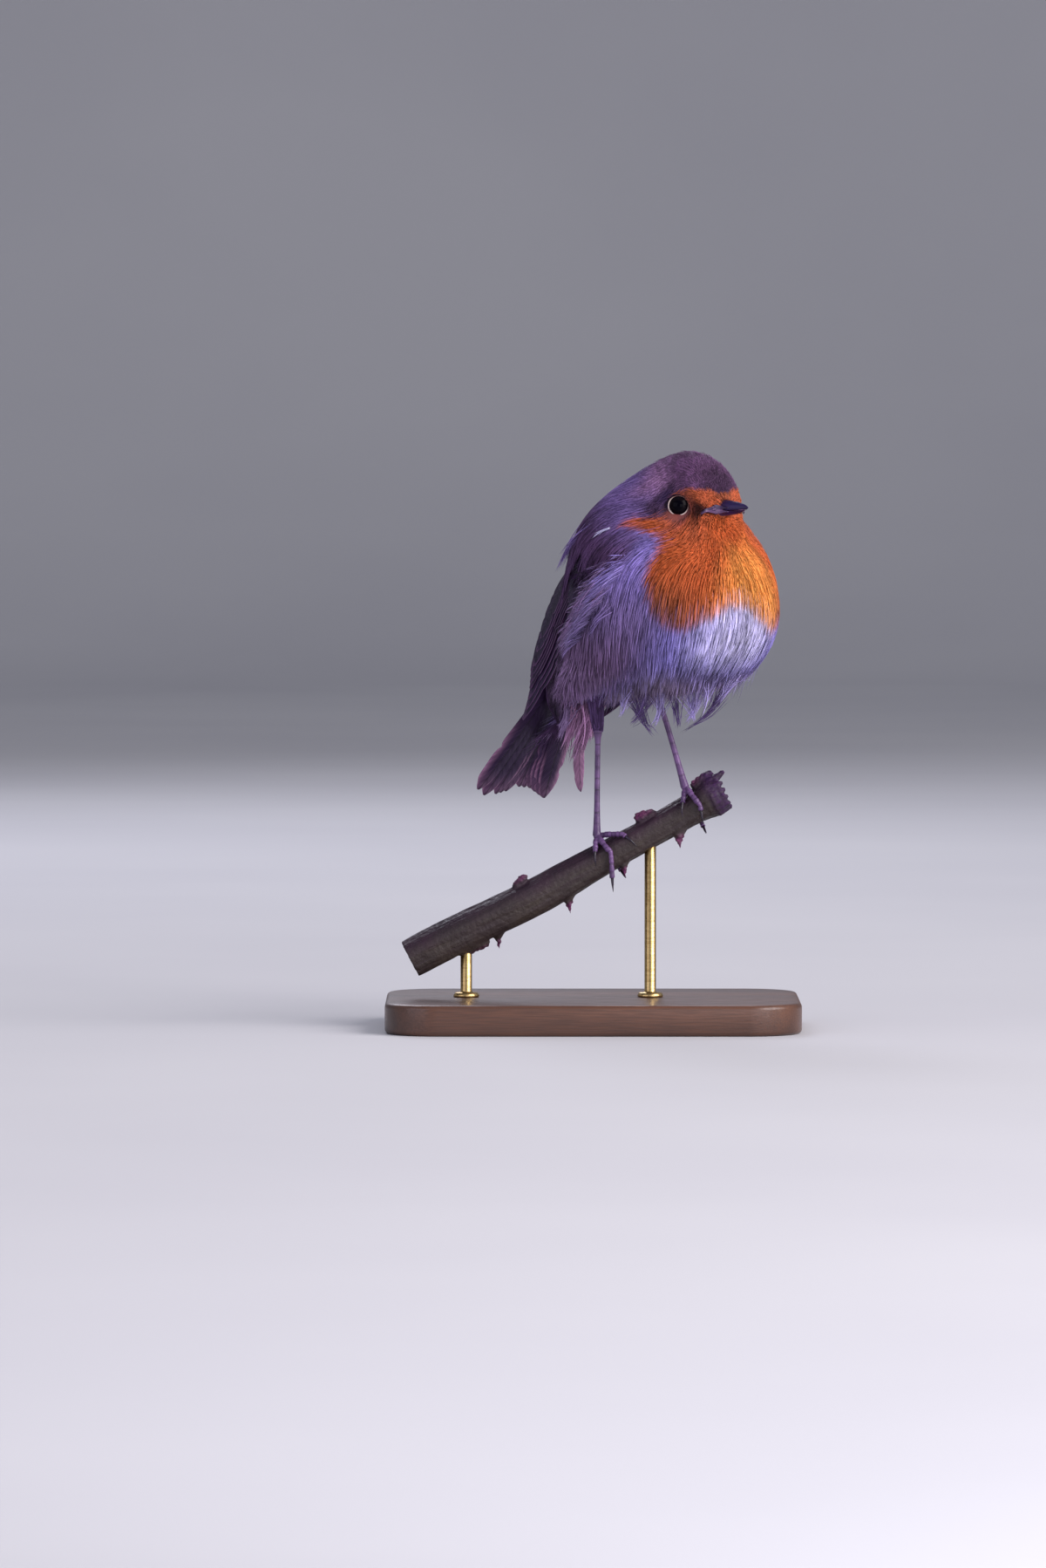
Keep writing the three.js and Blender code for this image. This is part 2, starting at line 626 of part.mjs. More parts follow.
// ----------------------------------------------------------------------- stand
function makeBase() {
  const { length, width, height, corner, bevel } = BASE;
  const [x, y] = [length / 2 - bevel, width / 2 - bevel];
  const outline = new THREE.Shape()
    .moveTo(-x + corner, -y)
    .lineTo(x - corner, -y)
    .absarc(x - corner, -y + corner, corner, -Math.PI / 2, 0)
    .lineTo(x, y - corner)
    .absarc(x - corner, y - corner, corner, 0, Math.PI / 2)
    .lineTo(-x + corner, y)
    .absarc(-x + corner, y - corner, corner, Math.PI / 2, Math.PI)
    .lineTo(-x, -y + corner)
    .absarc(-x + corner, -y + corner, corner, Math.PI, 1.5 * Math.PI);
  const slab = new THREE.ExtrudeGeometry(outline, {
    depth: height - 2 * bevel,
    bevelThickness: bevel,
    bevelSize: bevel,
    bevelSegments: 1,
    curveSegments: 4,
  });
  return solidOf(slab.translate(0, 0, bevel));
}

// A rod with a low collar, from the base's top into the stem's underside.
function makeRod(x, grow = 0) {
  const { centre, radius } = stemAt(stemShare(x));
  const [bottom, top] = [BASE.height, centre.z - radius + ROD.sunk + grow];
  const shaft = new THREE.CylinderGeometry(ROD.radius + grow, ROD.radius + grow, top - bottom, 12);
  const collar = new THREE.CylinderGeometry(ROD.collarRadius * 0.86, ROD.collarRadius, ROD.collarHeight, 16);
  shaft.rotateX(Math.PI / 2).translate(x, 0, (top + bottom) / 2);
  collar.rotateX(Math.PI / 2).translate(x, 0, bottom + ROD.collarHeight / 2);
  return solidOf(shaft).add(solidOf(collar));
}

// -------------------------------------------------------------------- assembly
const object = new THREE.Group();
const bird = new THREE.Group();
bird.position.x = FEET_MIDDLE;
bird.rotation.z = -BODY_TURN;
object.add(bird);

// What the legs take out of the trunk, brought into the bird's own frame.
const toBird = birdMatrix.clone().invert();
const legRoom = Object.values(FEET).flatMap((foot) => [
  moved(makeThigh(foot, GAP), toBird),
  moved(makeTarsus(foot, GAP), toBird),
]);
const wing = makeWing();
const wingRooms = [wingRoom(), mirrored(wingRoom())];

const [headWhole, belowHead] = partAlong(makeBody(), [7.5, 145.4], [33.0, 127.2]);
const [neckWhole, trunkWhole] = partAlong(belowHead, [-5.0, 136.4], [37.2, 117.6]);
const head = wasm.Manifold.difference([headWhole, makeBill(GAP), makeEye(-1, GAP), makeEye(1, GAP)]);
const neck = wasm.Manifold.difference([neckWhole, ...wingRooms, makeEye(-1, GAP), makeEye(1, GAP)]);
const wings = [wing, mirrored(wing)];
const trunk = wasm.Manifold.difference([trunkWhole, ...wingRooms, ...wings, tailRoom(), ...legRoom]);
const [billUpper, billLower] = splitBill(makeBill());

addPiece(bird, "head", head, MATERIAL.crown);
addPiece(bird, "neck", neck, MATERIAL.orange);
addPiece(bird, "trunk", trunk, MATERIAL.belly);
addPiece(bird, "bill_upper", billUpper, MATERIAL.bill);
addPiece(bird, "bill_lower", billLower, MATERIAL.bill);
addPiece(bird, "eye_right", makeEye(-1), MATERIAL.eye);
addPiece(bird, "eye_left", makeEye(1), MATERIAL.eye);
addPiece(bird, "wing_right", wings[0], MATERIAL.quill);
addPiece(bird, "wing_left", wings[1], MATERIAL.quill);
addPiece(bird, "tail", makeTail(), MATERIAL.quill);

for (const [side, foot] of Object.entries(FEET)) {
  for (const [part, solid] of Object.entries(makeLeg(foot))) {
    const material = { thigh: MATERIAL.belly, claw: MATERIAL.claw }[part.split("_")[0]];
    const [kind, digit] = part.split("_");
    const name = digit ? `${kind}_${side}_${digit}` : `${kind}_${side}`;
    addPiece(object, name, solid, material ?? MATERIAL.leg);
  }
}

const rodRoom = Object.values(RODS).map((x) => makeRod(x, GAP));
addPiece(object, "perch", wasm.Manifold.difference([makeStem(), ...rodRoom]), MATERIAL.stem);
addPiece(object, "stand_base", makeBase(), MATERIAL.wood);
for (const [place, x] of Object.entries(RODS)) {
  addPiece(object, `stand_rod_${place}`, makeRod(x), MATERIAL.brass);
}

export default object;
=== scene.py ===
# %% [markdown]
# # A european robin, life size, in numpy and Blender
#
# The robin stands fluffed up and rather wet on a cut length of bramble stem, as a
# museum would show it: the stem is held over a flat base by two rods. The solid model
# is loaded first and never moved. It says where everything is, and this lesson puts
# the looks round it: one skin, about eighty thousand tufts, the vanes of wings and
# tail, an eye, a bill, bark, wood and brass.
#
# Lengths in the cells are millimetres until a mesh is made, where they become metres.

# %% Load the fixed frame
import math

import bpy
import numpy as np
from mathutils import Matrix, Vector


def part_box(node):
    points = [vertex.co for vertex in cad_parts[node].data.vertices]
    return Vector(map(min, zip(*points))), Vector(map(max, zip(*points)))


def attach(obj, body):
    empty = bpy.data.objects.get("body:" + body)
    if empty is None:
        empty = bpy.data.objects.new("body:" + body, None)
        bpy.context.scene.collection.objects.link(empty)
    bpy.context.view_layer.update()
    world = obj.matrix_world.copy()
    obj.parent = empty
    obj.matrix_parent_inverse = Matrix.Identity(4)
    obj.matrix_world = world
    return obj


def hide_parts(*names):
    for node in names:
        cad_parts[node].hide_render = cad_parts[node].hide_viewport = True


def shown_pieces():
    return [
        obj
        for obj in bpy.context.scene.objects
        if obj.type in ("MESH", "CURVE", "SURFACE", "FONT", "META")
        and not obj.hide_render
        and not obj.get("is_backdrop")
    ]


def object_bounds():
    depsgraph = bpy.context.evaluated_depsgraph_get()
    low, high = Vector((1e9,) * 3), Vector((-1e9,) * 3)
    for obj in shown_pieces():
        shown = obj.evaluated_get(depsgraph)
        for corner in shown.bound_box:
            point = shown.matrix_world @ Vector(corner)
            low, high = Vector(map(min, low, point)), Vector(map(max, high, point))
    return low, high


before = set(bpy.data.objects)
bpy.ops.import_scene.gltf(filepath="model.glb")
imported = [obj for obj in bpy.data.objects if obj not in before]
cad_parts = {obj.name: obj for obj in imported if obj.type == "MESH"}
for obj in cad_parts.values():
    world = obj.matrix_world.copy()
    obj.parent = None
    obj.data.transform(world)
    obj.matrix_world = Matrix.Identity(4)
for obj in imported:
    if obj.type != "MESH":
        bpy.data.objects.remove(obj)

MM = 0.001


def new_object(name, data):
    """An object of the scene, with its data."""
    made = bpy.data.objects.new(name, data)
    bpy.context.scene.collection.objects.link(made)
    return made


cad_low, cad_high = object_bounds()
print("frame:", len(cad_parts), "nodes, from", tuple(cad_low), "to", tuple(cad_high))

# %% [markdown]
# ## The camera
#
# A long lens from far away keeps a small bird almost free of perspective. The view
# is level, a little above the stem, along +Y. The bird stands to the right of the
# middle, with open space over it.

# %% Camera
AIM = np.array([-18.2, 0.0, 63.6])
DISTANCE = 2500.0
ELEVATION = math.radians(2.5)
FRAME_HEIGHT = 408.6  # what the picture's long side spans at the aim, in mm
SENSOR = 36.0

camera_data = bpy.data.cameras.new("camera")
camera_data.sensor_width = SENSOR
camera_data.lens = SENSOR * DISTANCE / FRAME_HEIGHT
camera_data.clip_start, camera_data.clip_end = 0.05, 20.0
camera = new_object("camera", camera_data)
back_to_camera = np.array([0.0, -math.cos(ELEVATION), math.sin(ELEVATION)])
camera.location = (AIM + DISTANCE * back_to_camera) * MM
camera.rotation_euler = (math.pi / 2 - ELEVATION, 0.0, 0.0)
bpy.context.scene.camera = camera
print("camera: lens", round(camera_data.lens, 1), "mm at", DISTANCE * MM, "m")

# %% [markdown]
# ## Curves and closed shells
#
# Two helpers carry nearly every shape here. A **spline** is a smooth curve through a
# few named points. A **shell** is a closed surface: rings of points, one after another,
# between two poles. A body, a toe, a feather and a single tuft are all shells, and many
# tufts are one array of shells, so no loop over points is ever needed. The same could
# be done with curves and bevels, but those hide how the surface is worked out.

# %% Spline and shell helpers
def spline(points, t):
    """The smooth curve through the points, at the shares t of its course from 0 to 1:
    on each span a cubic whose slope at a point is half the step between that point's
    two neighbours."""
    points = np.asarray(points, float)
    spans = len(points) - 1
    place = np.clip(np.asarray(t, float), 0.0, 1.0) * spans
    i = np.minimum(place.astype(int), spans - 1)
    w = (place - i)[..., None]
    ends = [2 * points[0] - points[1]], [2 * points[-1] - points[-2]]
    padded = np.vstack([ends[0], points, ends[1]])
    before, start, stop, after = (padded[i + k] for k in range(4))
    slope_in, slope_out = (stop - before) / 2, (after - start) / 2
    cubic = 2 * start - 2 * stop + slope_in + slope_out
    square = 3 * stop - 3 * start - 2 * slope_in - slope_out
    return ((cubic * w + square) * w + slope_in) * w + start


def find_nearest(points, targets):
    """For each point the number of the nearest target, and how far it is. The points
    are taken in parts, to save memory."""
    near, far = [], []
    for part in np.array_split(points, 60):
        apart = np.linalg.norm(part[:, None] - targets[None], axis=2)
        near.append(apart.argmin(1))
        far.append(apart.min(1))
    return np.concatenate(near), np.concatenate(far)


def smooth(x, low, high):
    """0 below low, 1 above high, and an S-shaped rise between them."""
    t = np.clip((np.asarray(x, float) - low) / (high - low), 0.0, 1.0)
    return t * t * (3 - 2 * t)


def mix(a, b, share):
    """a where share is 0, b where it is 1, and the straight blend between."""
    share = np.asarray(share, float)
    return a + (b - a) * (share[..., None] if np.ndim(a) or np.ndim(b) else share)


def unit(v):
    """Vectors scaled to length 1."""
    return v / np.maximum(np.linalg.norm(v, axis=-1, keepdims=True), 1e-9)


def dot(a, b):
    """The dot product of vectors, kept as a column so that it can scale them."""
    return (a * b).sum(-1, keepdims=True)


def turns(count):
    """So many even angles round one turn, from 0."""
    return 2 * np.pi * np.arange(count) / count


def grid(first, second):
    """Two arrays that run over every pair of a first and a second value."""
    return np.meshgrid(first, second, indexing="ij")


def split_quads(a, b, c, d):
    """Two triangles for each quad of corners a, b, c and d."""
    return np.stack([a, b, c, a, c, d], -1).reshape(-1, 3)


def facing_out(points, triangles, inner):
    """The triangles, turned over where the volume round inner comes out negative."""
    a, b, c = (points[..., triangles[:, k], :] - inner for k in range(3))
    return triangles[:, ::-1] if (a * np.cross(b, c)).sum() < 0 else triangles


def with_poles(shares, sides):
    """A share for each of a shell's points: its ring's, and 0 and 1 at the poles."""
    return np.concatenate([[0.0], np.repeat(shares, sides), [1.0]])


def shell_triangles(rings, sides):
    """Triangles of a shell. Point 0 is the first pole, then come the rings' points one
    ring after another, and the last point is the other pole."""
    ring, side = grid(np.arange(rings - 1), np.arange(sides))
    a = 1 + ring * sides + side
    b = 1 + ring * sides + (side + 1) % sides
    walls = split_quads(a, b, b + sides, a + sides)
    side = np.arange(sides)
    ahead = (side + 1) % sides
    top = 1 + (rings - 1) * sides
    first = np.stack([0 * side, 1 + ahead, 1 + side], -1)
    last = np.stack([0 * side + top + sides, top + side, top + ahead], -1)
    return np.vstack([first, walls, last])


def shells(rings, start=None, stop=None):
    """Points (shells, per shell, 3) and triangles of many alike closed shells, from
    rings (shells, rings, sides, 3). A pole is its ring's middle unless it is given."""
    start = rings[:, 0].mean(1) if start is None else start
    stop = rings[:, -1].mean(1) if stop is None else stop
    count, n, sides = rings.shape[:3]
    points = np.concatenate([start[:, None], rings.reshape(count, n * sides, 3), stop[:, None]], 1)
    one = facing_out(points, shell_triangles(n, sides), points[:, :1])
    step = points.shape[1]
    triangles = (one[None] + step * np.arange(count)[:, None, None]).reshape(-1, 3)
    return points, triangles


def join(*parts):
    """Several (points, triangles) as one."""
    points, triangles, offset = [], [], 0
    for p, t in parts:
        p = p.reshape(-1, 3)
        points.append(p)
        triangles.append(t + offset)
        offset += len(p)
    return np.vstack(points), np.vstack(triangles)


def place_points(mesh, points):
    """Puts a mesh's points where the array in mm says."""
    mesh.vertices.foreach_set("co", (points * MM).astype(np.float32).ravel())


def keep(mesh, name, value):
    """Keeps a value at each point of a mesh."""
    layer = mesh.attributes.new(name, "FLOAT", "POINT")
    layer.data.foreach_set("value", value.astype(np.float32).ravel())


def keep_colour(mesh, name, value):
    """Keeps a colour at each point of a mesh."""
    value = value.reshape(-1, 3)
    rgba = np.concatenate([value, np.ones((len(value), 1))], 1)
    layer = mesh.attributes.new(name, "FLOAT_COLOR", "POINT")
    layer.data.foreach_set("color", rgba.astype(np.float32).ravel())


def make_mesh(name, points, triangles, values=None, colours=None, maps=None):
    """A mesh from arrays in mm. values and colours are kept at each point, and maps
    are uv maps given at each point and written to the triangles' corners."""
    mesh = bpy.data.meshes.new(name)
    points, triangles = points.reshape(-1, 3), triangles.reshape(-1, 3)
    mesh.vertices.add(len(points))
    place_points(mesh, points)
    mesh.loops.add(triangles.size)
    mesh.loops.foreach_set("vertex_index", triangles.astype(np.int32).ravel())
    mesh.polygons.add(len(triangles))
    mesh.polygons.foreach_set("loop_start", np.arange(0, triangles.size, 3, dtype=np.int32))
    mesh.update(calc_edges=True)
    for key, value in (values or {}).items():
        keep(mesh, key, value)
    for key, value in (colours or {}).items():
        keep_colour(mesh, key, value)
    for key, value in (maps or {}).items():
        layer = mesh.uv_layers.new(name=key)
        corners = value.reshape(-1, 2)[triangles.ravel()]
        layer.data.foreach_set("uv", corners.astype(np.float32).ravel())
    mesh.shade_smooth()
    mesh.validate()
    return mesh


def add_piece(name, mesh, material, replaces=()):
    """An object at the origin that rides on the one body, takes the material it is given,
    and stands for the solid nodes that it replaces, which it hides."""
    piece = new_object(name, mesh)
    mesh.materials.clear()
    mesh.materials.append(material)
    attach(piece, "root")
    if replaces:
        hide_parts(*replaces)
    print(f"{name}: {len(mesh.polygons)} triangles")
    return piece

# %% [markdown]
# ## Materials in small steps
#
# Nodes are made by two short helpers, so that each material below reads as a recipe.
# Two effects are shared by several finishes and are built once as node groups:
# **mottle** (soft blotches and fine grain in the object's own space) and **barbs** (the
# fine slanting lines of a feather's vane). A group gives out only masks and heights;
# the shader that uses them stays in its material.

# %% Node helpers and colours
def tone(red, green, blue):
    """A colour named by its display values 0 to 255, as the linear light that nodes
    and colour attributes use."""
    c = np.array([red, green, blue], float) / 255.0
    return np.where(c <= 0.04045, c / 12.92, ((c + 0.055) / 1.055) ** 2.4)


def put(tree, kind, inputs=None, **settings):
    """A new node with its settings. Each input is a value or a socket to link from."""
    made = tree.nodes.new(kind)
    for key, value in settings.items():
        setattr(made, key, value)
    for key, value in (inputs or {}).items():
        if isinstance(value, bpy.types.NodeSocket):
            tree.links.new(value, made.inputs[key])
        elif isinstance(value, np.ndarray):
            made.inputs[key].default_value = (*value, 1.0)
        else:
            made.inputs[key].default_value = value
    return made


def new_group(name, inputs, outputs):
    """A node group with named sockets, and its input and output nodes."""
    group = bpy.data.node_groups.new(name, "ShaderNodeTree")
    for label, kind, value in inputs:
        socket = group.interface.new_socket(label, in_out="INPUT", socket_type=kind)
        socket.default_value = value
    for label, kind in outputs:
        group.interface.new_socket(label, in_out="OUTPUT", socket_type=kind)
    return group, group.nodes.new("NodeGroupInput"), group.nodes.new("NodeGroupOutput")


def maths(tree, operation, *values):
    """The result socket of one Math node."""
    inputs = dict(enumerate(values))
    return put(tree, "ShaderNodeMath", inputs, operation=operation).outputs[0]


def blend(tree, share, a, b, how="MIX"):
    """The result socket of a colour Mix node."""
    made = put(tree, "ShaderNodeMix", data_type="RGBA", blend_type=how)
    for index, value in ((0, share), (6, a), (7, b)):
        if isinstance(value, bpy.types.NodeSocket):
            tree.links.new(value, made.inputs[index])
        else:
            made.inputs[index].default_value = (*value, 1.0) if index else value
    return made.outputs[2]


def from_range(tree, value, low, high, to_low=0.0, to_high=1.0):
    """The result socket of a clamped Map Range node."""
    inputs = {"Value": value, "From Min": low, "From Max": high, "To Min": to_low,
              "To Max": to_high}
    return put(tree, "ShaderNodeMapRange", inputs).outputs[0]


def kept(tree, name, output="Fac"):
    """A socket with a value that the mesh keeps at each point."""
    return put(tree, "ShaderNodeAttribute", attribute_name=name).outputs[output]


def new_material(name, roughness, specular=0.5, **fixed):
    """A material with its Principled shader, whose uniform values are set on it."""
    material = bpy.data.materials.new(name)
    material.use_nodes = True
    tree = material.node_tree
    shader = tree.nodes["Principled BSDF"]
    shader.inputs["Roughness"].default_value = roughness
    shader.inputs["Specular IOR Level"].default_value = specular
    for key, value in fixed.items():
        shader.inputs[key.replace("_", " ")].default_value = value
    return material, tree, shader


def feed(shader, name, socket):
    """Links a socket to one of the shader's inputs."""
    shader.id_data.links.new(socket, shader.inputs[name])


def bump(tree, shader, height, distance, strength=1.0):
    """Feeds a height through a Bump node to the shader's Normal."""
    inputs = {"Height": height, "Distance": distance * MM, "Strength": strength}
    feed(shader, "Normal", put(tree, "ShaderNodeBump", inputs).outputs[0])


# %% Shared effects as node groups
mottle, ins, outs = new_group(
    "mottle",
    [("Scale", "NodeSocketFloat", 1.0), ("Stretch", "NodeSocketVector", (1.0, 1.0, 1.0))],
    [("Blotch", "NodeSocketFloat"), ("Grain", "NodeSocketFloat")],
)
place = put(mottle, "ShaderNodeTexCoord").outputs["Object"]
place = {"Vector": place, "Scale": ins.outputs["Stretch"]}
place = put(mottle, "ShaderNodeMapping", place).outputs[0]
for label, finer, detail in (("Blotch", 1.0, 3.0), ("Grain", 7.0, 5.0)):
    size = maths(mottle, "MULTIPLY", ins.outputs["Scale"], finer)
    noise = put(mottle, "ShaderNodeTexNoise", {"Vector": place, "Scale": size, "Detail": detail})
    spread = from_range(mottle, noise.outputs[0], 0.32, 0.68)
    mottle.links.new(spread, outs.inputs[label])


def speckle(tree, scale, stretch=(1.0, 1.0, 1.0)):
    """The mottle group put into a material."""
    return put(tree, "ShaderNodeGroup", {"Scale": scale, "Stretch": stretch}, node_tree=mottle)


barbs, ins, outs = new_group(
    "barbs",
    [("Count", "NodeSocketFloat", 60.0), ("Slant", "NodeSocketFloat", 0.25)],
    [("Line", "NodeSocketFloat"), ("Shaft", "NodeSocketFloat"), ("Break", "NodeSocketFloat")],
)
uv = put(barbs, "ShaderNodeUVMap", uv_map="vane").outputs[0]
split = put(barbs, "ShaderNodeSeparateXYZ", {0: uv})
across = maths(barbs, "ABSOLUTE", maths(barbs, "SUBTRACT", split.outputs[0], 0.5))
slanted = maths(barbs, "MULTIPLY", across, ins.outputs["Slant"])
course = maths(barbs, "SUBTRACT", split.outputs[1], slanted)
wobble = put(barbs, "ShaderNodeTexNoise", {"Vector": uv, "Scale": 9.0, "Detail": 2.0}).outputs[0]
course = maths(barbs, "MULTIPLY_ADD", wobble, 0.012, course)
phase = maths(barbs, "MULTIPLY", course, maths(barbs, "MULTIPLY", ins.outputs["Count"], 6.2832))
wave = maths(barbs, "SINE", phase)
barbs.links.new(from_range(barbs, wave, -1.0, 1.0), outs.inputs["Line"])
barbs.links.new(from_range(barbs, across, 0.05, 0.02), outs.inputs["Shaft"])
streak = put(barbs, "ShaderNodeCombineXYZ", {0: maths(barbs, "MULTIPLY", across, 2.0),
                                             1: maths(barbs, "MULTIPLY", course, 26.0)})
gap = put(barbs, "ShaderNodeTexNoise", {"Vector": streak.outputs[0], "Scale": 1.0, "Detail": 4.0})
barbs.links.new(from_range(barbs, gap.outputs[0], 0.35, 0.65), outs.inputs["Break"])
print("node groups:", mottle.name, barbs.name)

# %% [markdown]
# ## Where the plumage's colours lie
#
# The markings belong to the bird, so each one is a formula in the body's own two
# measures: `s`, the share of the way from the bill to the tail, and the **side angle**,
# 0 on the belly's middle and 180 on the back's. The skin and every tuft ask the same
# function for their colour, so the markings stay together. The bib is an outline in
# those two measures, with a ragged edge where the barbs mingle. The same formula also
# paints light and shade: a painted highlight on the breast's middle, painted shade on
# the crown's front, beside the eye, on the lower breast's sides and on the flank under
# the wing's edge, and painted light on the crown's top rear and the belly's underside.

# %% Plumage colours
CROWN = tone(122, 84, 126)
# painted shade on the crown's front and painted light on its top rear
CROWN_FRONT_PAINTED_SHADE = tone(74, 50, 78)
CROWN_TOP_PAINTED_LIGHT = tone(168, 126, 172)
NAPE = tone(130, 106, 168)
NAPE_PALE = tone(172, 128, 168)
EAR = tone(72, 50, 78)
EYE_STRIPE = tone(62, 48, 106)
BIB = tone(204, 101, 53)
# painted highlight: the paler orange of the breast's middle, where the key light falls
BIB_PAINTED_HIGHLIGHT = tone(250, 166, 84)
# a duller orange for the lower breast's sides, partly painted shade
BIB_DULL_AND_SHADE = tone(134, 78, 56)
BIB_FACE = tone(196, 100, 63)
FOREHEAD = tone(172, 94, 64)
# painted shade beside and below the eye
UNDER_EYE_PAINTED_SHADE = tone(104, 55, 66)
LORES = tone(70, 28, 24)
GAPE = tone(120, 86, 124)
SLATE = tone(152, 134, 208)
FLANK = tone(132, 112, 166)
FLANK_BROWN = tone(146, 116, 162)
BELLY = tone(222, 216, 255)
# the underside's greyer lilac, lightened as painted light bounced from below
BELLY_UNDER_PAINTED_BOUNCE = tone(146, 128, 160)
BELLY_LOW = tone(130, 120, 188)
RUMP = tone(58, 40, 70)
VENT = tone(176, 148, 196)
MANTLE = tone(84, 59, 96)
WING_TONE = tone(50, 26, 64)
BIB_OUTLINE = np.array([
    # (s, side angle) from the forehead round the eye, cheek and breast to the middle
    (-0.05, 185), (0.030, 185), (0.044, 152), (0.071, 138), (0.112, 114), (0.170, 99),
    (0.233, 93), (0.274, 96), (0.301, 99), (0.320, 98), (0.333, 90),
    (0.366, 97), (0.385, 103), (0.409, 101), (0.399, 90),
    (0.384, 82), (0.386, 74), (0.410, 66), (0.439, 64), (0.467, 61), (0.500, 57),
    (0.534, 51), (0.551, 41), (0.550, 32), (0.522, 22), (0.498, 13), (0.476, 5),
    (0.473, -12), (-0.05, -12),
])
S_SCALE, ANGLE_SCALE = 140.0, 0.33  # about one millimetre on the cheek and breast


def distance(a, b, p):
    """The least distance from each point to the straight stretches from a to b."""
    run = b - a
    share = np.clip(((p - a) * run).sum(-1) / (run**2).sum(-1), 0.0, 1.0)
    return np.linalg.norm(p - a - share[..., None] * run, axis=-1).min(1)


def inside(outline, s, side):
    """Signed distance in about mm from an outline, positive inside it: the least
    distance to any edge, with its sign from how many edges a level ray crosses."""
    scale = np.array([S_SCALE, ANGLE_SCALE])
    p = np.stack([s, side], -1)[:, None] * scale
    a = (outline * scale)[None]
    b = np.roll(a, -1, axis=1)
    far, run = distance(a, b, p), b - a
    crosses = (a[..., 1] > p[..., 1]) != (b[..., 1] > p[..., 1])
    rise = np.where(run[..., 1] == 0, 1, run[..., 1])
    where = a[..., 0] + (p[..., 1] - a[..., 1]) * run[..., 0] / rise
    odd = (crosses & (p[..., 0] < where)).sum(1) % 2 == 1
    return np.where(odd, far, -far)


def along_gape(s, side):
    """1 on the bare wedge that runs back from the gape under the lores, 0 off it."""
    scale = np.array([S_SCALE, ANGLE_SCALE])
    line = np.array([(-0.03, 82), (0.094, 71), (0.17, 65), (0.245, 60)]) * scale
    far = distance(line[None, :-1], line[None, 1:], np.stack([s, side], -1)[:, None] * scale)
    return np.exp(-((far / (0.95 - 2.4 * np.clip(s, 0, 0.3))) ** 2)) * smooth(s, 0.27, 0.16)


def bib_share(s, angle, ragged=0.0):
    """How much of the bib's orange a place has. The bib's notch stands a little to the
    bird's right, as the breast is turned."""
    side = np.abs(angle + 6.0 * smooth(np.abs(angle), 60, 10))
    return smooth(inside(BIB_OUTLINE, s, side) + ragged, -0.9, 0.9)


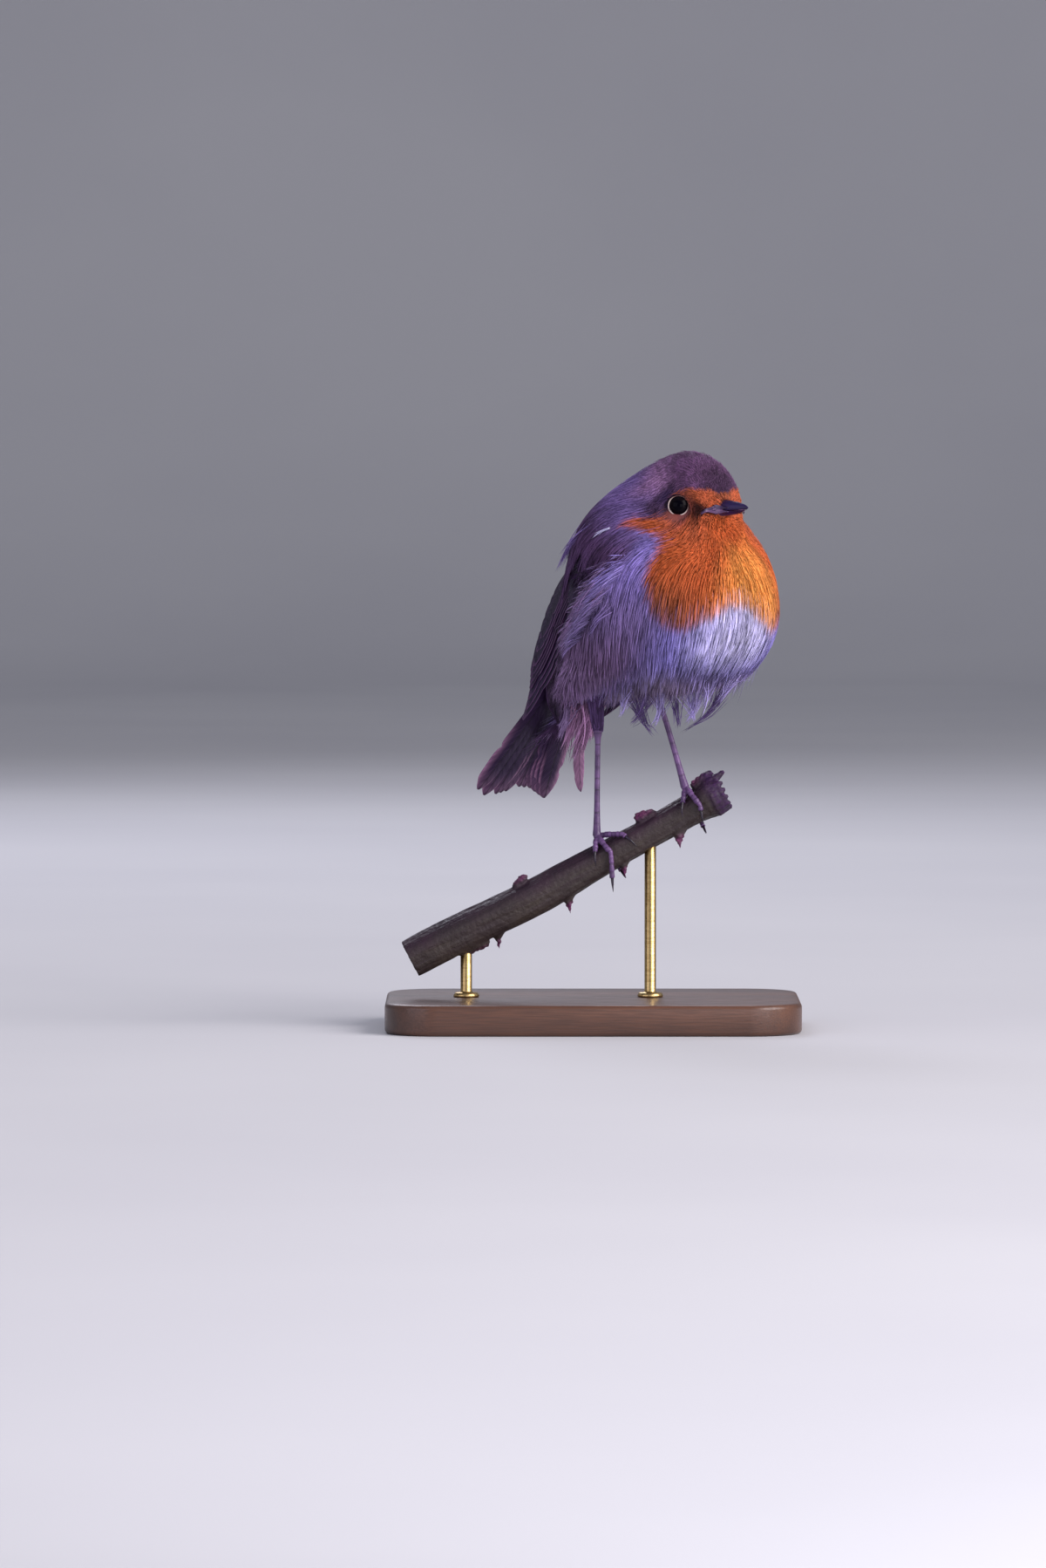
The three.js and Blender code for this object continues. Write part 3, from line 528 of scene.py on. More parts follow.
def plumage(s, angle, ragged=0.0):
    """The colour of the coat at s and at a signed side angle (right is negative), from
    the back's zones and the belly's zones, with the bib over both."""
    side = np.abs(angle) + 1.6 * ragged
    s_here = s + 0.006 * ragged
    # painted shade and light: the crown is painted darker at its front and paler on its top rear
    crown = mix(CROWN_FRONT_PAINTED_SHADE, CROWN, smooth(s_here, 0.1, 0.2))
    crown = mix(crown, CROWN_TOP_PAINTED_LIGHT, smooth(s_here, 0.24, 0.3) * smooth(side, 168, 140))
    upper = mix(crown, NAPE, smooth(s_here, 0.3, 0.37))
    below_crown = smooth(side, 119, 106) * smooth(s_here, 0.22, 0.3)
    upper = mix(upper, mix(EAR, NAPE, smooth(s_here, 0.35, 0.39)), below_crown)
    stripe = np.exp(-(((s_here - 0.315) / 0.022) ** 2) - ((side - 106) / 6.0) ** 2)
    upper = mix(upper, EYE_STRIPE, 0.4 * stripe)
    patch = np.exp(-(((s_here - 0.345) / 0.03) ** 2) - ((side - 128) / 9.0) ** 2)
    upper = mix(upper, NAPE_PALE, 0.55 * patch)
    upper = mix(upper, MANTLE, smooth(s_here, 0.40, 0.47))
    lower = mix(SLATE, FLANK, smooth(s_here, 0.46, 0.57))
    lower = mix(lower, FLANK_BROWN, smooth(s_here, 0.56, 0.68) * smooth(side, 40, 70))
    # painted shade: the flank is darkened by about a third just under the folded wing's edge
    dark = 0.34 * smooth(side, 64, 84) * smooth(s_here, 0.5, 0.56) * smooth(s_here, 0.74, 0.66)
    lower = lower * (1 - dark)[:, None]
    under = smooth(s_here, 0.44, 0.47)
    lower = mix(lower, BELLY_LOW, smooth(side, 60, 36) * under)
    lower = mix(lower, BELLY, smooth(side, 40, 10) * under * smooth(s_here, 0.66, 0.57))
    lower = mix(lower, BELLY_LOW, 0.5 * smooth(angle, 14, 40) * under)
    # painted light: the belly's underside is lightened as if by light bounced from below, over a
    # greyer lilac of its own
    lower = mix(lower, BELLY_UNDER_PAINTED_BOUNCE, smooth(side, 56, 30) * smooth(s_here, 0.62, 0.70))
    lower = mix(lower, VENT, smooth(s_here, 0.80, 0.90) * smooth(side, 55, 35))
    lower = mix(lower, RUMP, smooth(s_here, 0.84, 0.93) * smooth(side, 62, 84))
    wing_front = np.interp(s_here, [0.37, 0.395, 0.41, 0.44, 0.461, 0.50, 0.54, 0.60, 0.65],
                           [70, 95, 82, 77, 76, 81, 88, 97, 103])
    colour = mix(lower, upper, smooth(side - wing_front, -3.5, 3.5))
    lores = smooth(side, 57, 65) * smooth(s, 0.34, 0.26) * smooth(s, 0.02, 0.14) * smooth(side, 86, 70)
    face = mix(BIB_FACE, LORES, lores)
    face = mix(face, FOREHEAD, smooth(side, 118, 145))
    # painted shade: the face darkens towards a dull brown-violet beside and below the eye
    face = mix(face, UNDER_EYE_PAINTED_SHADE, 0.9 * smooth(s, 0.2, 0.29) * smooth(side, 70, 80) * smooth(side, 98, 88))
    # painted highlight: the breast's middle, facing the key light, is mixed towards a paler orange
    breast = mix(BIB, BIB_PAINTED_HIGHLIGHT, smooth(np.abs(angle - 9), 42, 10) * smooth(s, 0.2, 0.38))
    # the lower breast's sides darker: partly a duller orange of their own, partly painted shade where
    # the breast turns away and under
    breast = mix(breast, BIB_DULL_AND_SHADE, 0.85 * smooth(side, 14, 42) * smooth(s, 0.44, 0.53))
    bib = mix(breast, face, smooth(s, 0.39, 0.30) * smooth(side, 38, 66))
    colour = mix(colour, bib, bib_share(s, angle, ragged))
    return mix(colour, GAPE, along_gape(s, np.abs(angle)))


print("plumage at the breast's middle:", plumage(np.array([0.4]), np.array([0.0]))[0].round(3))

# %% [markdown]
# ## The body's form
#
# The solid body is a row of slices between the back's line and the belly's line. The
# same stations are repeated here, in the bird's own frame (forward, left, up), so that
# skin and coat can be laid on exactly that form at any fineness.

# %% Body surface
TURN = math.radians(50)  # the bird's heading, clockwise from +X
HEAD_TURN = math.radians(5)
FEET_MIDDLE = 12.9
HEAD_CENTRE = (21.3, 138.8)
STATIONS = np.array([
    # back forward, back up, belly forward, belly up, half width, lift of the widest level
    (31.0, 137.6, 31.0, 133.6, 1.8, 0.0), (30.8, 140.8, 31.4, 131.8, 4.2, 0.0),
    (28.8, 145.2, 32.4, 130.4, 6.4, 0.0), (25.0, 148.9, 33.7, 129.0, 8.0, 0.05),
    (19.0, 150.5, 35.0, 127.2, 8.8, 0.1), (12.0, 149.1, 36.6, 124.8, 10.1, 0.0),
    (4.6, 145.8, 38.6, 121.2, 14.8, -0.1), (-2.8, 140.8, 40.4, 116.7, 20.6, 0.05),
    (-9.2, 134.0, 41.2, 111.0, 25.2, 0.1), (-13.6, 125.8, 40.2, 104.5, 27.4, 0.05),
    (-16.2, 117.5, 36.6, 98.3, 28.0, 0.0), (-18.2, 109.5, 31.0, 92.4, 26.6, 0.0),
    (-20.2, 102.0, 22.5, 87.4, 23.8, 0.0), (-25.4, 98.0, 12.0, 84.2, 19.6, 0.0),
    (-29.6, 92.4, 0.0, 82.8, 15.0, 0.0), (-32.6, 87.6, -12.0, 82.4, 10.6, 0.0),
    (-34.0, 83.6, -21.4, 81.2, 6.4, 0.0), (-33.8, 80.6, -29.5, 79.0, 2.4, 0.0),
])
UP = np.array([0.0, 0.0, 1.0])


def turn_head(p):
    """The head turned about the neck's upright, fading out down the neck."""
    angle = HEAD_TURN * smooth(p[..., 2], 118, 136)
    x, y = p[..., 0] - HEAD_CENTRE[0], p[..., 1]
    ahead = HEAD_CENTRE[0] + x * np.cos(angle) - y * np.sin(angle)
    return np.stack([ahead, x * np.sin(angle) + y * np.cos(angle), p[..., 2]], -1)


def body_form(s, angle):
    """The body's outer form in the bird's frame: at s an ellipse between the back's
    and the belly's line, at a signed angle in degrees from the belly's middle."""
    line = spline(STATIONS, s)
    back, belly = line[..., 0:2], line[..., 2:4]
    a = np.radians(180.0 - np.asarray(angle, float))
    level = np.cos(a) + line[..., 5] * np.sin(a) ** 2
    flat = (back + belly) / 2 + (back - belly) / 2 * level[..., None]
    return turn_head(np.stack([flat[..., 0], line[..., 4] * np.sin(a), flat[..., 1]], -1))


def to_stand(p):
    """From the bird's frame to the stand's: turned about the upright and moved."""
    forward, left, up = p[..., 0], p[..., 1], p[..., 2]
    c, s = math.cos(TURN), math.sin(TURN)
    return np.stack([FEET_MIDDLE + c * forward + s * left, -s * forward + c * left, up], -1)


def from_stand(p):
    """From the stand's frame back to the bird's."""
    x, y = p[..., 0] - FEET_MIDDLE, p[..., 1]
    c, s = math.cos(TURN), math.sin(TURN)
    return np.stack([c * x - s * y, s * x + c * y, p[..., 2]], -1)


def body_frame(s, angle):
    """The form's point, its two slopes and its outward normal, from small steps."""
    step_s, step_a = 0.002, 0.5
    s0, s1 = np.clip(s - step_s, 0, 1), np.clip(s + step_s, 0, 1)
    by_s = (body_form(s1, angle) - body_form(s0, angle)) / (s1 - s0)[..., None]
    by_angle = (body_form(s, angle + step_a) - body_form(s, angle - step_a)) / (2 * step_a)
    return body_form(s, angle), by_s, by_angle, unit(np.cross(by_s, by_angle))


probe = body_frame(np.array([0.5]), np.array([180.0]))
print("the back's normal at the middle:", probe[3][0].round(2))
trunk_low, trunk_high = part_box("trunk")
print("widest half width", STATIONS[:, 4].max(), "mm; trunk node", tuple(trunk_low), tuple(trunk_high))

# %% [markdown]
# ## Legs and feet
#
# A robin's shank is a thin, almost smooth rod, and its toes are ringed with small
# scutes over soft pads. Each limb is a tube along a spline, and a toe follows the bark
# it grips: its path is given by places beside the stem. So the stem's course comes
# first. The tubes of a leg overlap at the foot's hub, and a voxel remesh melts them
# into one flesh. That is quick and leaves a fillet where toes meet, which separate
# tubes can't give. The scutes are then raised along each vertex's normal.

# %% The stem's course
STEM = np.array([
    # x, z, radius, from the cut end to the torn end
    (-47.5, 17.8, 5.0), (-32.0, 25.9, 4.95), (-16.0, 33.5, 4.85), (1.5, 43.4, 4.25),
    (19.5, 53.4, 3.95), (27.0, 57.6, 4.2), (31.0, 60.0, 5.1), (34.0, 61.6, 4.8),
])


def stem_at(t):
    """The stem's centre, radius, run and upright at t from its cut to its torn end."""
    p = spline(STEM, t)
    step = spline(STEM, np.minimum(t + 1e-3, 1.0)) - spline(STEM, np.maximum(t - 1e-3, 0.0))
    run = unit(np.stack([step[..., 0], 0 * step[..., 0], step[..., 1]], -1))
    up = np.stack([-run[..., 2], run[..., 1], run[..., 0]], -1)
    return np.stack([p[..., 0], 0 * p[..., 0], p[..., 1]], -1), p[..., 2], run, up


STEM_T = np.linspace(0.0, 1.0, 2001)
STEM_X = spline(STEM, STEM_T)[:, 0]


def over_bark(t, degrees, height):
    """A place over the bark. The angle runs round from the top towards -Y."""
    centre, radius, _, up = stem_at(t)
    a = np.radians(degrees)
    reach = (radius + height)[..., None] if np.ndim(radius) else radius + height
    cos, sin = (np.cos(a)[..., None], np.sin(a)[..., None]) if np.ndim(a) else (np.cos(a), np.sin(a))
    return centre + reach * (cos * up - sin * np.array([0.0, 1.0, 0.0]))


def beside_stem(x, degrees, height):
    """The same, at the place where the stem's centre stands at x."""
    return over_bark(np.interp(x, STEM_X, STEM_T), degrees, height)


# %% Tubes along a path
def tube(path, radius, rings=40, sides=16, shape=None):
    """A closed tube. path is spline points and radius a function of t along it. Each
    ring is a circle across the path, on sides level and upright to it; shape(t, a)
    may scale it at an angle a."""
    t = np.linspace(0.0, 1.0, rings)
    centre = spline(path, t)
    along = unit(spline(path, np.minimum(t + 0.01, 1)) - spline(path, np.maximum(t - 0.01, 0)))
    level = np.cross(UP, along)
    steep = np.linalg.norm(level, axis=1, keepdims=True) < 0.2
    level = unit(np.where(steep, [[0.0, 1.0, 0.0]], level))
    over = np.cross(along, level)
    a = turns(sides)
    reach = np.broadcast_to(radius(t), t.shape)[:, None] * np.ones_like(a)
    if shape is not None:
        reach = reach * shape(t[:, None], a[None])
    ring = np.cos(a)[None, :, None] * level[:, None] + np.sin(a)[None, :, None] * over[:, None]
    return shells((centre[:, None] + reach[..., None] * ring)[None])


# %% The paths of shanks, thighs and toes
TOE_RADIUS = 0.7
TOE_CLEAR = TOE_RADIUS + 0.3  # a toe's middle line over the bark's ridges
CLAW_LENGTH, CLAW_HOOK = 3.9, 1.3
FEET = {
    # toes: start and end angle round the stem, shift along it, free length, droop
    "right": dict(
        x=4.0, hub=(6, 1.75), ankle=(-10.8, -6.0, 77.7), knee=(-8.0, -10.0, 94.0),
        toes={1: (-18, -150, 0.9, 0.6, 0.0), 2: (8, 50, 5.4, 0.8, 0.4),
              3: (20, 84, 0.9, 6.4, 0.9), 4: (16, 54, -1.9, 0.4, 0.15)}),
    "left": dict(
        x=27.0, hub=(8, 1.75), ankle=(-0.8, 5.2, 88.2), knee=(6.0, 8.5, 101.0),
        toes={1: (-18, -160, -0.8, 0.8, 0.0), 2: (18, 48, -1.9, 0.6, 0.15),
              3: (18, 88, 0.9, 1.4, 0.7), 4: (-30, -80, 1.2, 0.6, 0.0)}),
}


def toe_path(foot, toe):
    """A toe's course: from the hub, round the bark between two angles while it shifts
    along the stem, then straight on for its free length. Also its claw's directions."""
    start, end, shift, free, droop = toe
    angle, height = foot["hub"]
    points = [beside_stem(foot["x"], angle, height)]
    for share in np.linspace(0, 1, 5):
        clear = TOE_CLEAR + (height - TOE_CLEAR) * 0.45 * (1 - share) ** 2
        x = foot["x"] + shift * (0.25 + 0.75 * share)
        points.append(beside_stem(x, start + (end - start) * share, clear))
    last = points[-1]
    onward = unit(last - points[-2])
    onward = unit(onward * (1 - droop) - UP * droop)
    tip = last + free * onward
    inward = unit(beside_stem(foot["x"] + shift, end, -2.0) - last)
    return np.array([*points, tip]), tip, onward, inward


def shank_ends(foot):
    """The shank's two ends, at the foot's hub and at the ankle."""
    angle, height = foot["hub"]
    return beside_stem(foot["x"], angle, height + 0.2), to_stand(np.array(foot["ankle"]))


def limb_parts(foot):
    """Every limb of a leg: its path's points and its radius as a function of t."""
    low, high = shank_ends(foot)
    knee = to_stand(np.array(foot["knee"]))
    bend = low + (high - low) * 0.55 + 0.25 * unit(knee - high)
    shank = np.array([low, bend, high])
    thigh_middle = (high + knee) / 2 + 0.5 * unit(high - low)
    parts = [
        (shank, lambda t: 0.72 + 0.4 * (1 - t) ** 7 + 0.48 * np.exp(-(((t - 0.98) / 0.07) ** 2))),
        (np.array([high, thigh_middle, knee]), lambda t: 1.0 + 1.3 * smooth(t, 0.1, 0.9)),
    ]
    for toe in foot["toes"].values():
        path = toe_path(foot, toe)[0]
        parts.append((path, lambda t: TOE_RADIUS * (1.1 - 0.28 * t + 0.1 * np.cos(6 * np.pi * t))))
    return parts


legs = {side: limb_parts(foot) for side, foot in FEET.items()}
print("limbs:", {side: len(parts) for side, parts in legs.items()})

# %% [markdown]
# ## One skin
#
# The skin lies under the coat, deep where the feathers are long. It is the body's form
# moved inwards along its normal, and the legs run up into it. The legs are remeshed
# first and then united with the body by a boolean, so that the flesh is one closed
# surface without a seam. A separate shell for each part would be easier, but its edges
# would show wherever the wet coat parts.

# %% How deep the coat is
DEPTH = np.array([0.35, 0.6, 0.8, 1.1, 1.8, 2.8, 3.7, 4.2, 3.6, 2.2, 0.7])


def along_body(values, s):
    """A value that changes along the body, from its list of evenly spaced values."""
    return spline(np.asarray(values, float)[:, None], s)[..., 0]


def coat_depth(s, angle):
    """The coat's depth in mm: from the list along the body, less over the back."""
    back = 1.0 - 0.4 * smooth(np.abs(angle), 80, 115) * smooth(s, 0.35, 0.5)
    return along_body(DEPTH, s) * back


def sunk(s, angle):
    """How far the coat's surface lies inside the body's form, in mm. Under the wet
    belly only the wisps that hang down still reach the form."""
    return 6.0 * smooth(s, 0.57, 0.67) * smooth(s, 0.98, 0.9) * smooth(np.abs(angle), 86, 50)


SKIN_RINGS, SKIN_SIDES = 110, 84
s_grid, angle_grid = grid(np.linspace(0, 1, SKIN_RINGS),
                          np.linspace(-180, 180, SKIN_SIDES, endpoint=False))
form, _, _, outward = body_frame(s_grid, angle_grid)
deep = coat_depth(s_grid, angle_grid) + sunk(s_grid, angle_grid)
trunk_points, trunk_triangles = shells(to_stand(form - deep[..., None] * outward)[None])


# %% Voxel remesh and union
def settle(mesh, voxel=None, union_with=None):
    """The mesh after a voxel remesh, or after its union with another mesh."""
    holder = new_object("holder", mesh)
    extra = None
    if voxel:
        made = holder.modifiers.new("remesh", "REMESH")
        made.mode, made.voxel_size, made.use_smooth_shade = "VOXEL", voxel * MM, True
    if union_with:
        extra = new_object("other", union_with)
        made = holder.modifiers.new("union", "BOOLEAN")
        made.operation, made.solver, made.object = "UNION", "EXACT", extra
    graph = bpy.context.evaluated_depsgraph_get()
    result = bpy.data.meshes.new_from_object(holder.evaluated_get(graph))
    for used in filter(None, (holder, extra)):
        bpy.data.objects.remove(used)
    return result


def vectors(items, key):
    """The vectors that a mesh keeps for its items under a key."""
    flat = np.empty(len(items) * 3, np.float32)
    items.foreach_get(key, flat)
    return flat.reshape(-1, 3).astype(float)


def points_and_normals(mesh):
    """A mesh's points in mm and its normals there."""
    return vectors(mesh.vertices, "co") / MM, vectors(mesh.vertex_normals, "vector")


LEG_VOXEL, BARK_VOXEL = 0.2, 0.28
# the skin shows only between the tufts: partly painted shade down among them, partly the grey down at
# the feathers' roots
SKIN_SHADE = 0.75  # the skin is this much darker than the coat over it
flesh = join(*[tube(path, radius, 48, 18) for parts in legs.values() for path, radius in parts])
legs_mesh = settle(make_mesh("legs", *flesh), voxel=LEG_VOXEL)


def along_limb(points):
    """For each point the nearest limb's place in mm along it, whether that limb is a
    toe, and how far the point is from the limb's middle line."""
    best = np.full(len(points), 1e9)
    place, toe = np.zeros(len(points)), np.zeros(len(points))
    for parts in legs.values():
        for index, (path, _) in enumerate(parts):
            line = spline(path, np.linspace(0, 1, 60))
            run = np.r_[0, np.cumsum(np.linalg.norm(np.diff(line, axis=0), axis=1))]
            near, least = find_nearest(points, line)
            closer = least < best
            best = np.where(closer, least, best)
            place = np.where(closer, run[near], place)
            toe = np.where(closer, float(index > 1), toe)
    return place, toe, best


SCUTE = 1.15  # length of one scute along a toe
SHANK_SCUTE = 2.6 * SCUTE
TOE_RIDGE, SHANK_RIDGE = 0.12, 0.03  # how far a scute's edge stands up
leg_points, leg_normals = points_and_normals(legs_mesh)
place, toe, _ = along_limb(leg_points)
saw = (place / np.where(toe > 0, SCUTE, SHANK_SCUTE)) % 1.0
ridge = np.where(toe > 0, TOE_RIDGE, SHANK_RIDGE) * (smooth(saw, 0.0, 0.25) - saw)
leg_points = leg_points + ridge[:, None] * leg_normals
place_points(legs_mesh, leg_points)
skin_mesh = settle(make_mesh("trunk_skin", trunk_points, trunk_triangles), union_with=legs_mesh)
print("skin:", len(skin_mesh.vertices), "points")

# %% Skin colours and its material
# The union loses the grid, so each point asks the nearest point of the form for its
# place (s, angle), and the limbs for its place along a leg.
flat_form = trunk_points[0, 1:-1]
skin_points, _ = points_and_normals(skin_mesh)
nearest = 3 * find_nearest(skin_points, flat_form[::3])[0]
skin_s, skin_angle = s_grid.ravel()[nearest], angle_grid.ravel()[nearest]
place, toe, off_line = along_limb(skin_points)
on_leg = smooth(off_line, 2.2, 1.5) * smooth(skin_points[:, 2], 92, 86)
keep(skin_mesh, "leg", on_leg)
keep(skin_mesh, "scute", place / np.where(toe > 0, SCUTE, SHANK_SCUTE))
# painted shade: the skin takes the plumage's colour, darkened by SKIN_SHADE
keep_colour(skin_mesh, "plumage", SKIN_SHADE * plumage(skin_s, skin_angle))

skin_material, tree, shader = new_material("skin_and_scutes", 0.45, 0.4)
spots = speckle(tree, 260.0)
ring = maths(tree, "PINGPONG", maths(tree, "FRACT", kept(tree, "scute")), 0.5)
edge = from_range(tree, ring, 0.12, 0.0)
shank = blend(tree, spots.outputs["Blotch"], tone(73, 50, 88), tone(112, 80, 128))
shank = blend(tree, maths(tree, "MULTIPLY", edge, 0.6), shank, tone(40, 24, 48))
colour = blend(tree, kept(tree, "leg"), kept(tree, "plumage", "Color"), shank)
feed(shader, "Base Color", colour)
rough = from_range(tree, kept(tree, "leg"), 0.0, 1.0, 0.8, 0.38)
feed(shader, "Roughness", rough)
bump(tree, shader, maths(tree, "SUBTRACT", spots.outputs["Grain"], edge), 0.06, 0.5)
flesh_nodes = ["head", "neck", "trunk"]
flesh_nodes += [f"{kind}_{side}" for kind in ("tarsus", "thigh") for side in FEET]
flesh_nodes += [f"toe_{side}_{digit}" for side in FEET for digit in (1, 2, 3, 4)]
skin_mesh.shade_smooth()
add_piece("skin", skin_mesh, skin_material, flesh_nodes)

# %% [markdown]
# ## The folded wing and the tail, feather by feather
#
# The flight feathers are few and large, so each is its own vane: a thin leaf with a
# raised shaft, edges that fray, and a fine bump of barbs. All of them are one function
# along the feather and round its section. A folded wing is a stack of such vanes on a
# bent sheet between its leading and trailing edges. Shorter coverts lie over their
# roots like roof tiles, and the tail is a half-open fan of twelve.

# %% One vane
RNG = np.random.default_rng(20)
VANE_RINGS, VANE_SIDES = 40, 16
QUILL = tone(36, 20, 50)
QUILL_EDGE = tone(108, 72, 114)
TAIL_TONE = tone(48, 26, 64)
TAIL_EDGE = tone(190, 140, 176)


def leaf(t):
    """A feather's half width as a share: narrow at the root, widest past the middle,
    bluntly pointed at the tip."""
    return 0.35 + 0.65 * np.sin(np.pi * np.minimum(0.8 * t, 0.5)) - 0.85 * t**7


def fray(t, depth, gaps):
    """How an edge's reach varies along a vane: a slow raggedness that grows towards
    the tip, and a few narrow gaps where the barbs have parted."""
    wave = np.interp(t, np.linspace(0, 1, 13), RNG.uniform(-1, 1, 13))
    teeth = wave * depth * (0.4 + 1.2 * t**3)
    at = RNG.uniform(0.35, 0.97, gaps)
    deep, wide = RNG.uniform(0.08, 0.3, gaps), RNG.uniform(0.016, 0.03, gaps)
    cuts = (deep[:, None] * np.exp(-(((t[None] - at[:, None]) / wide[:, None]) ** 2))).sum(0)
    return 1.0 + teeth - cuts


def vane(centre, side, half, thick=0.3, camber=0.25, depth=0.03, gaps=3):
    """One vane's rings. centre(t) is its shaft and side(t) the way across. Across it,
    u runs from -1 to 1 as the cosine of the angle round the section: the height is a
    thin lens, less a camber that grows with u squared, plus the shaft's ridge."""
    t = np.linspace(0, 1, VANE_RINGS)
    line, across = centre(t), side(t)
    ahead = centre(np.minimum(t + 0.03, 1)) - centre(np.maximum(t - 0.03, 0))
    normal = unit(np.cross(ahead, across))
    across = unit(np.cross(normal, ahead))
    a = turns(VANE_SIDES)
    u = np.cos(a)
    ragged = np.where(u > 0, fray(t, depth, gaps)[:, None], fray(t, depth, gaps)[:, None])
    reach = half(t)[:, None] * (1 + (ragged - 1) * np.abs(u) ** 3) * u
    lens = thick / 2 * np.sin(a) * (0.35 + 0.65 * (1 - u**2))
    shaft = 0.14 * np.exp(-((u / 0.12) ** 2)) * np.sin(a) * (1 - 0.7 * t[:, None])
    height = lens + shaft - camber * (u**2) * half(t)[:, None] / 3.0
    rings = line[:, None] + reach[..., None] * across[:, None] + height[..., None] * normal[:, None]
    return rings, np.broadcast_to(u, reach.shape), np.broadcast_to(t[:, None], reach.shape)


def feathers(name, made, replaces, cells=12):
    """One piece from many vanes. made holds (rings, u, t, colour) for each. The map
    "vane" says where a point is across and along its own feather, and OFBake gives
    every feather its own cell, so that its edges keep their colours."""
    rings = np.stack([m[0] for m in made])
    points, triangles = shells(rings)
    count = len(made)

    def to_points(values, root, tip):
        """Values on the rings, with one at each pole."""
        flat = values.reshape(count, -1, values.shape[-1])
        return np.concatenate([np.broadcast_to(root, flat[:, :1].shape), flat,
                               np.broadcast_to(tip, flat[:, :1].shape)], 1)

    u, t = (np.stack([m[k] for m in made])[..., None] for k in (1, 2))
    local = to_points(np.concatenate([(u + 1) / 2, t], -1), [0.5, 0.0], [0.5, 1.0])
    cell = np.arange(count)
    corner = np.stack([cell % cells, cell // cells], -1) / cells
    bake = corner[:, None] + (0.06 + 0.88 * local) / cells
    ring_colours = np.stack([m[3] for m in made])
    colour = to_points(ring_colours, ring_colours[:, :1, 0], ring_colours[:, -1:, 0])
    mesh = make_mesh(name, points, triangles, colours={"plumage": colour},
                     maps={"vane": local, "OFBake": bake})
    return add_piece(name, mesh, vane_material, replaces)


vane_material, tree, shader = new_material("vane_with_barbs", 0.5, 0.2)
lines = put(tree, "ShaderNodeGroup", {"Count": 62.0, "Slant": 0.22}, node_tree=barbs)
base = kept(tree, "plumage", "Color")
dark = blend(tree, 1.0, base, (0.55, 0.5, 0.6), "MULTIPLY")
colour = blend(tree, lines.outputs["Break"], dark, base)
colour = blend(tree, maths(tree, "MULTIPLY", lines.outputs["Shaft"], 0.7), colour, tone(24, 17, 30))
feed(shader, "Base Color", colour)
feed(shader, "Roughness", from_range(tree, lines.outputs["Break"], 0.0, 1.0, 0.62, 0.42))
bump(tree, shader, maths(tree, "ADD", lines.outputs["Line"], lines.outputs["Break"]), 0.05, 0.6)

# %% The wing's sheet
WING_LEADING = np.array([(21, -20.5, 126), (11, -26, 114), (0, -24, 102.5), (-14.5, -17.6, 91.5),
                         (-32, -13, 79.2)])
WING_TRAILING = np.array([(13.5, -17, 132), (2, -19.5, 127), (-7.6, -18.4, 117.5), (-16, -17, 106),
                          (-24.6, -15.2, 95), (-32.6, -13.4, 81.2)])
WING_OUT = unit(np.array([-0.35, -1.0, 0.25]))
WING_BULGE = 0.7


def wing_sheet(along, across):
    """The folded right wing's sheet in the bird's frame, at along from wrist to tip
    and across from the leading to the trailing edge, proud in its middle."""
    a, b = spline(WING_LEADING, along), spline(WING_TRAILING, along)
    proud = WING_BULGE * np.sin(np.pi * np.clip(across, 0, 1)) * (1 - along**3)
    across = np.asarray(across, float)[..., None]
    return a + (b - a) * across + np.asarray(proud)[..., None] * WING_OUT


def wing_feather(root, tip, width, lift, rise, edge, **form):
    """A vane on the sheet from root to tip, both (along, across), standing lift over
    it and rising towards its tip."""
    def centre(t):
        along = root[0] + (tip[0] - root[0]) * t
        across = root[1] + (tip[1] - root[1]) * t
        bow = 0.02 * np.sin(np.pi * t)
        return wing_sheet(along, across + bow) + (lift + rise * t)[:, None] * WING_OUT

    def side(t):
        along = np.minimum(root[0] + (tip[0] - root[0]) * t, 0.9)
        return wing_sheet(along, 1.0 + 0 * t) - wing_sheet(along, 0.0 * t)

    rings, u, t = vane(centre, side, lambda t: width / 2 * leaf(t), **form)
    shade = QUILL * RNG.uniform(0.8, 1.25) * (0.9 + 0.25 * t[..., None])
    rim = smooth(-u, 0.8, 0.92) + 0.2 * smooth(u, 0.85, 1.0) + smooth(t, 0.95, 1.0)
    return rings, u, t, mix(shade, QUILL_EDGE, edge * np.clip(rim, 0, 1))


QUILLS = [
    # count, root (along, across), tip, step of the tip, step of the root, width, edge
    (5, (0.16, 0.08), (1.0, 0.28), (-0.04, 0.126), 0.077, 5.2, 1.0),
    (4, (0.24, 0.42), (0.88, 0.60), (-0.018, 0.078), 0.054, 5.4, 0.9),
    (3, (0.30, 0.68), (0.80, 0.80), (-0.06, 0.06), 0.053, 6.2, 1.0),
]
COVERTS = [
    # rows of shorter feathers: count, along, from across, to across, length, width, lift
    (9, 0.12, 0.08, 0.86, 0.30, 4.6, 2.0),
    (10, 0.02, 0.04, 0.92, 0.22, 4.4, 2.5),
]
wing_vanes = []
for count, root, tip, step, root_step, width, edge in QUILLS:
    for i in range(count):
        wing_vanes.append(wing_feather(
            (root[0], root[1] + root_step * i), (tip[0] + step[0] * i, tip[1] + step[1] * i),
            width, 0.1 + 0.13 * len(wing_vanes), 0.35, edge, gaps=3))
for count, along, low, high, length, width, lift in COVERTS:
    for i, across in enumerate(np.linspace(low, high, count)):
        here = along + RNG.uniform(-0.01, 0.01)
        wing_vanes.append(wing_feather(
            (here, across), (here + length * (1 - 0.35 * i / count), across * 0.9 + 0.08),
            width, lift - 0.6, 0.5 - 0.03 * i, 0.5, depth=0.05, gaps=4))
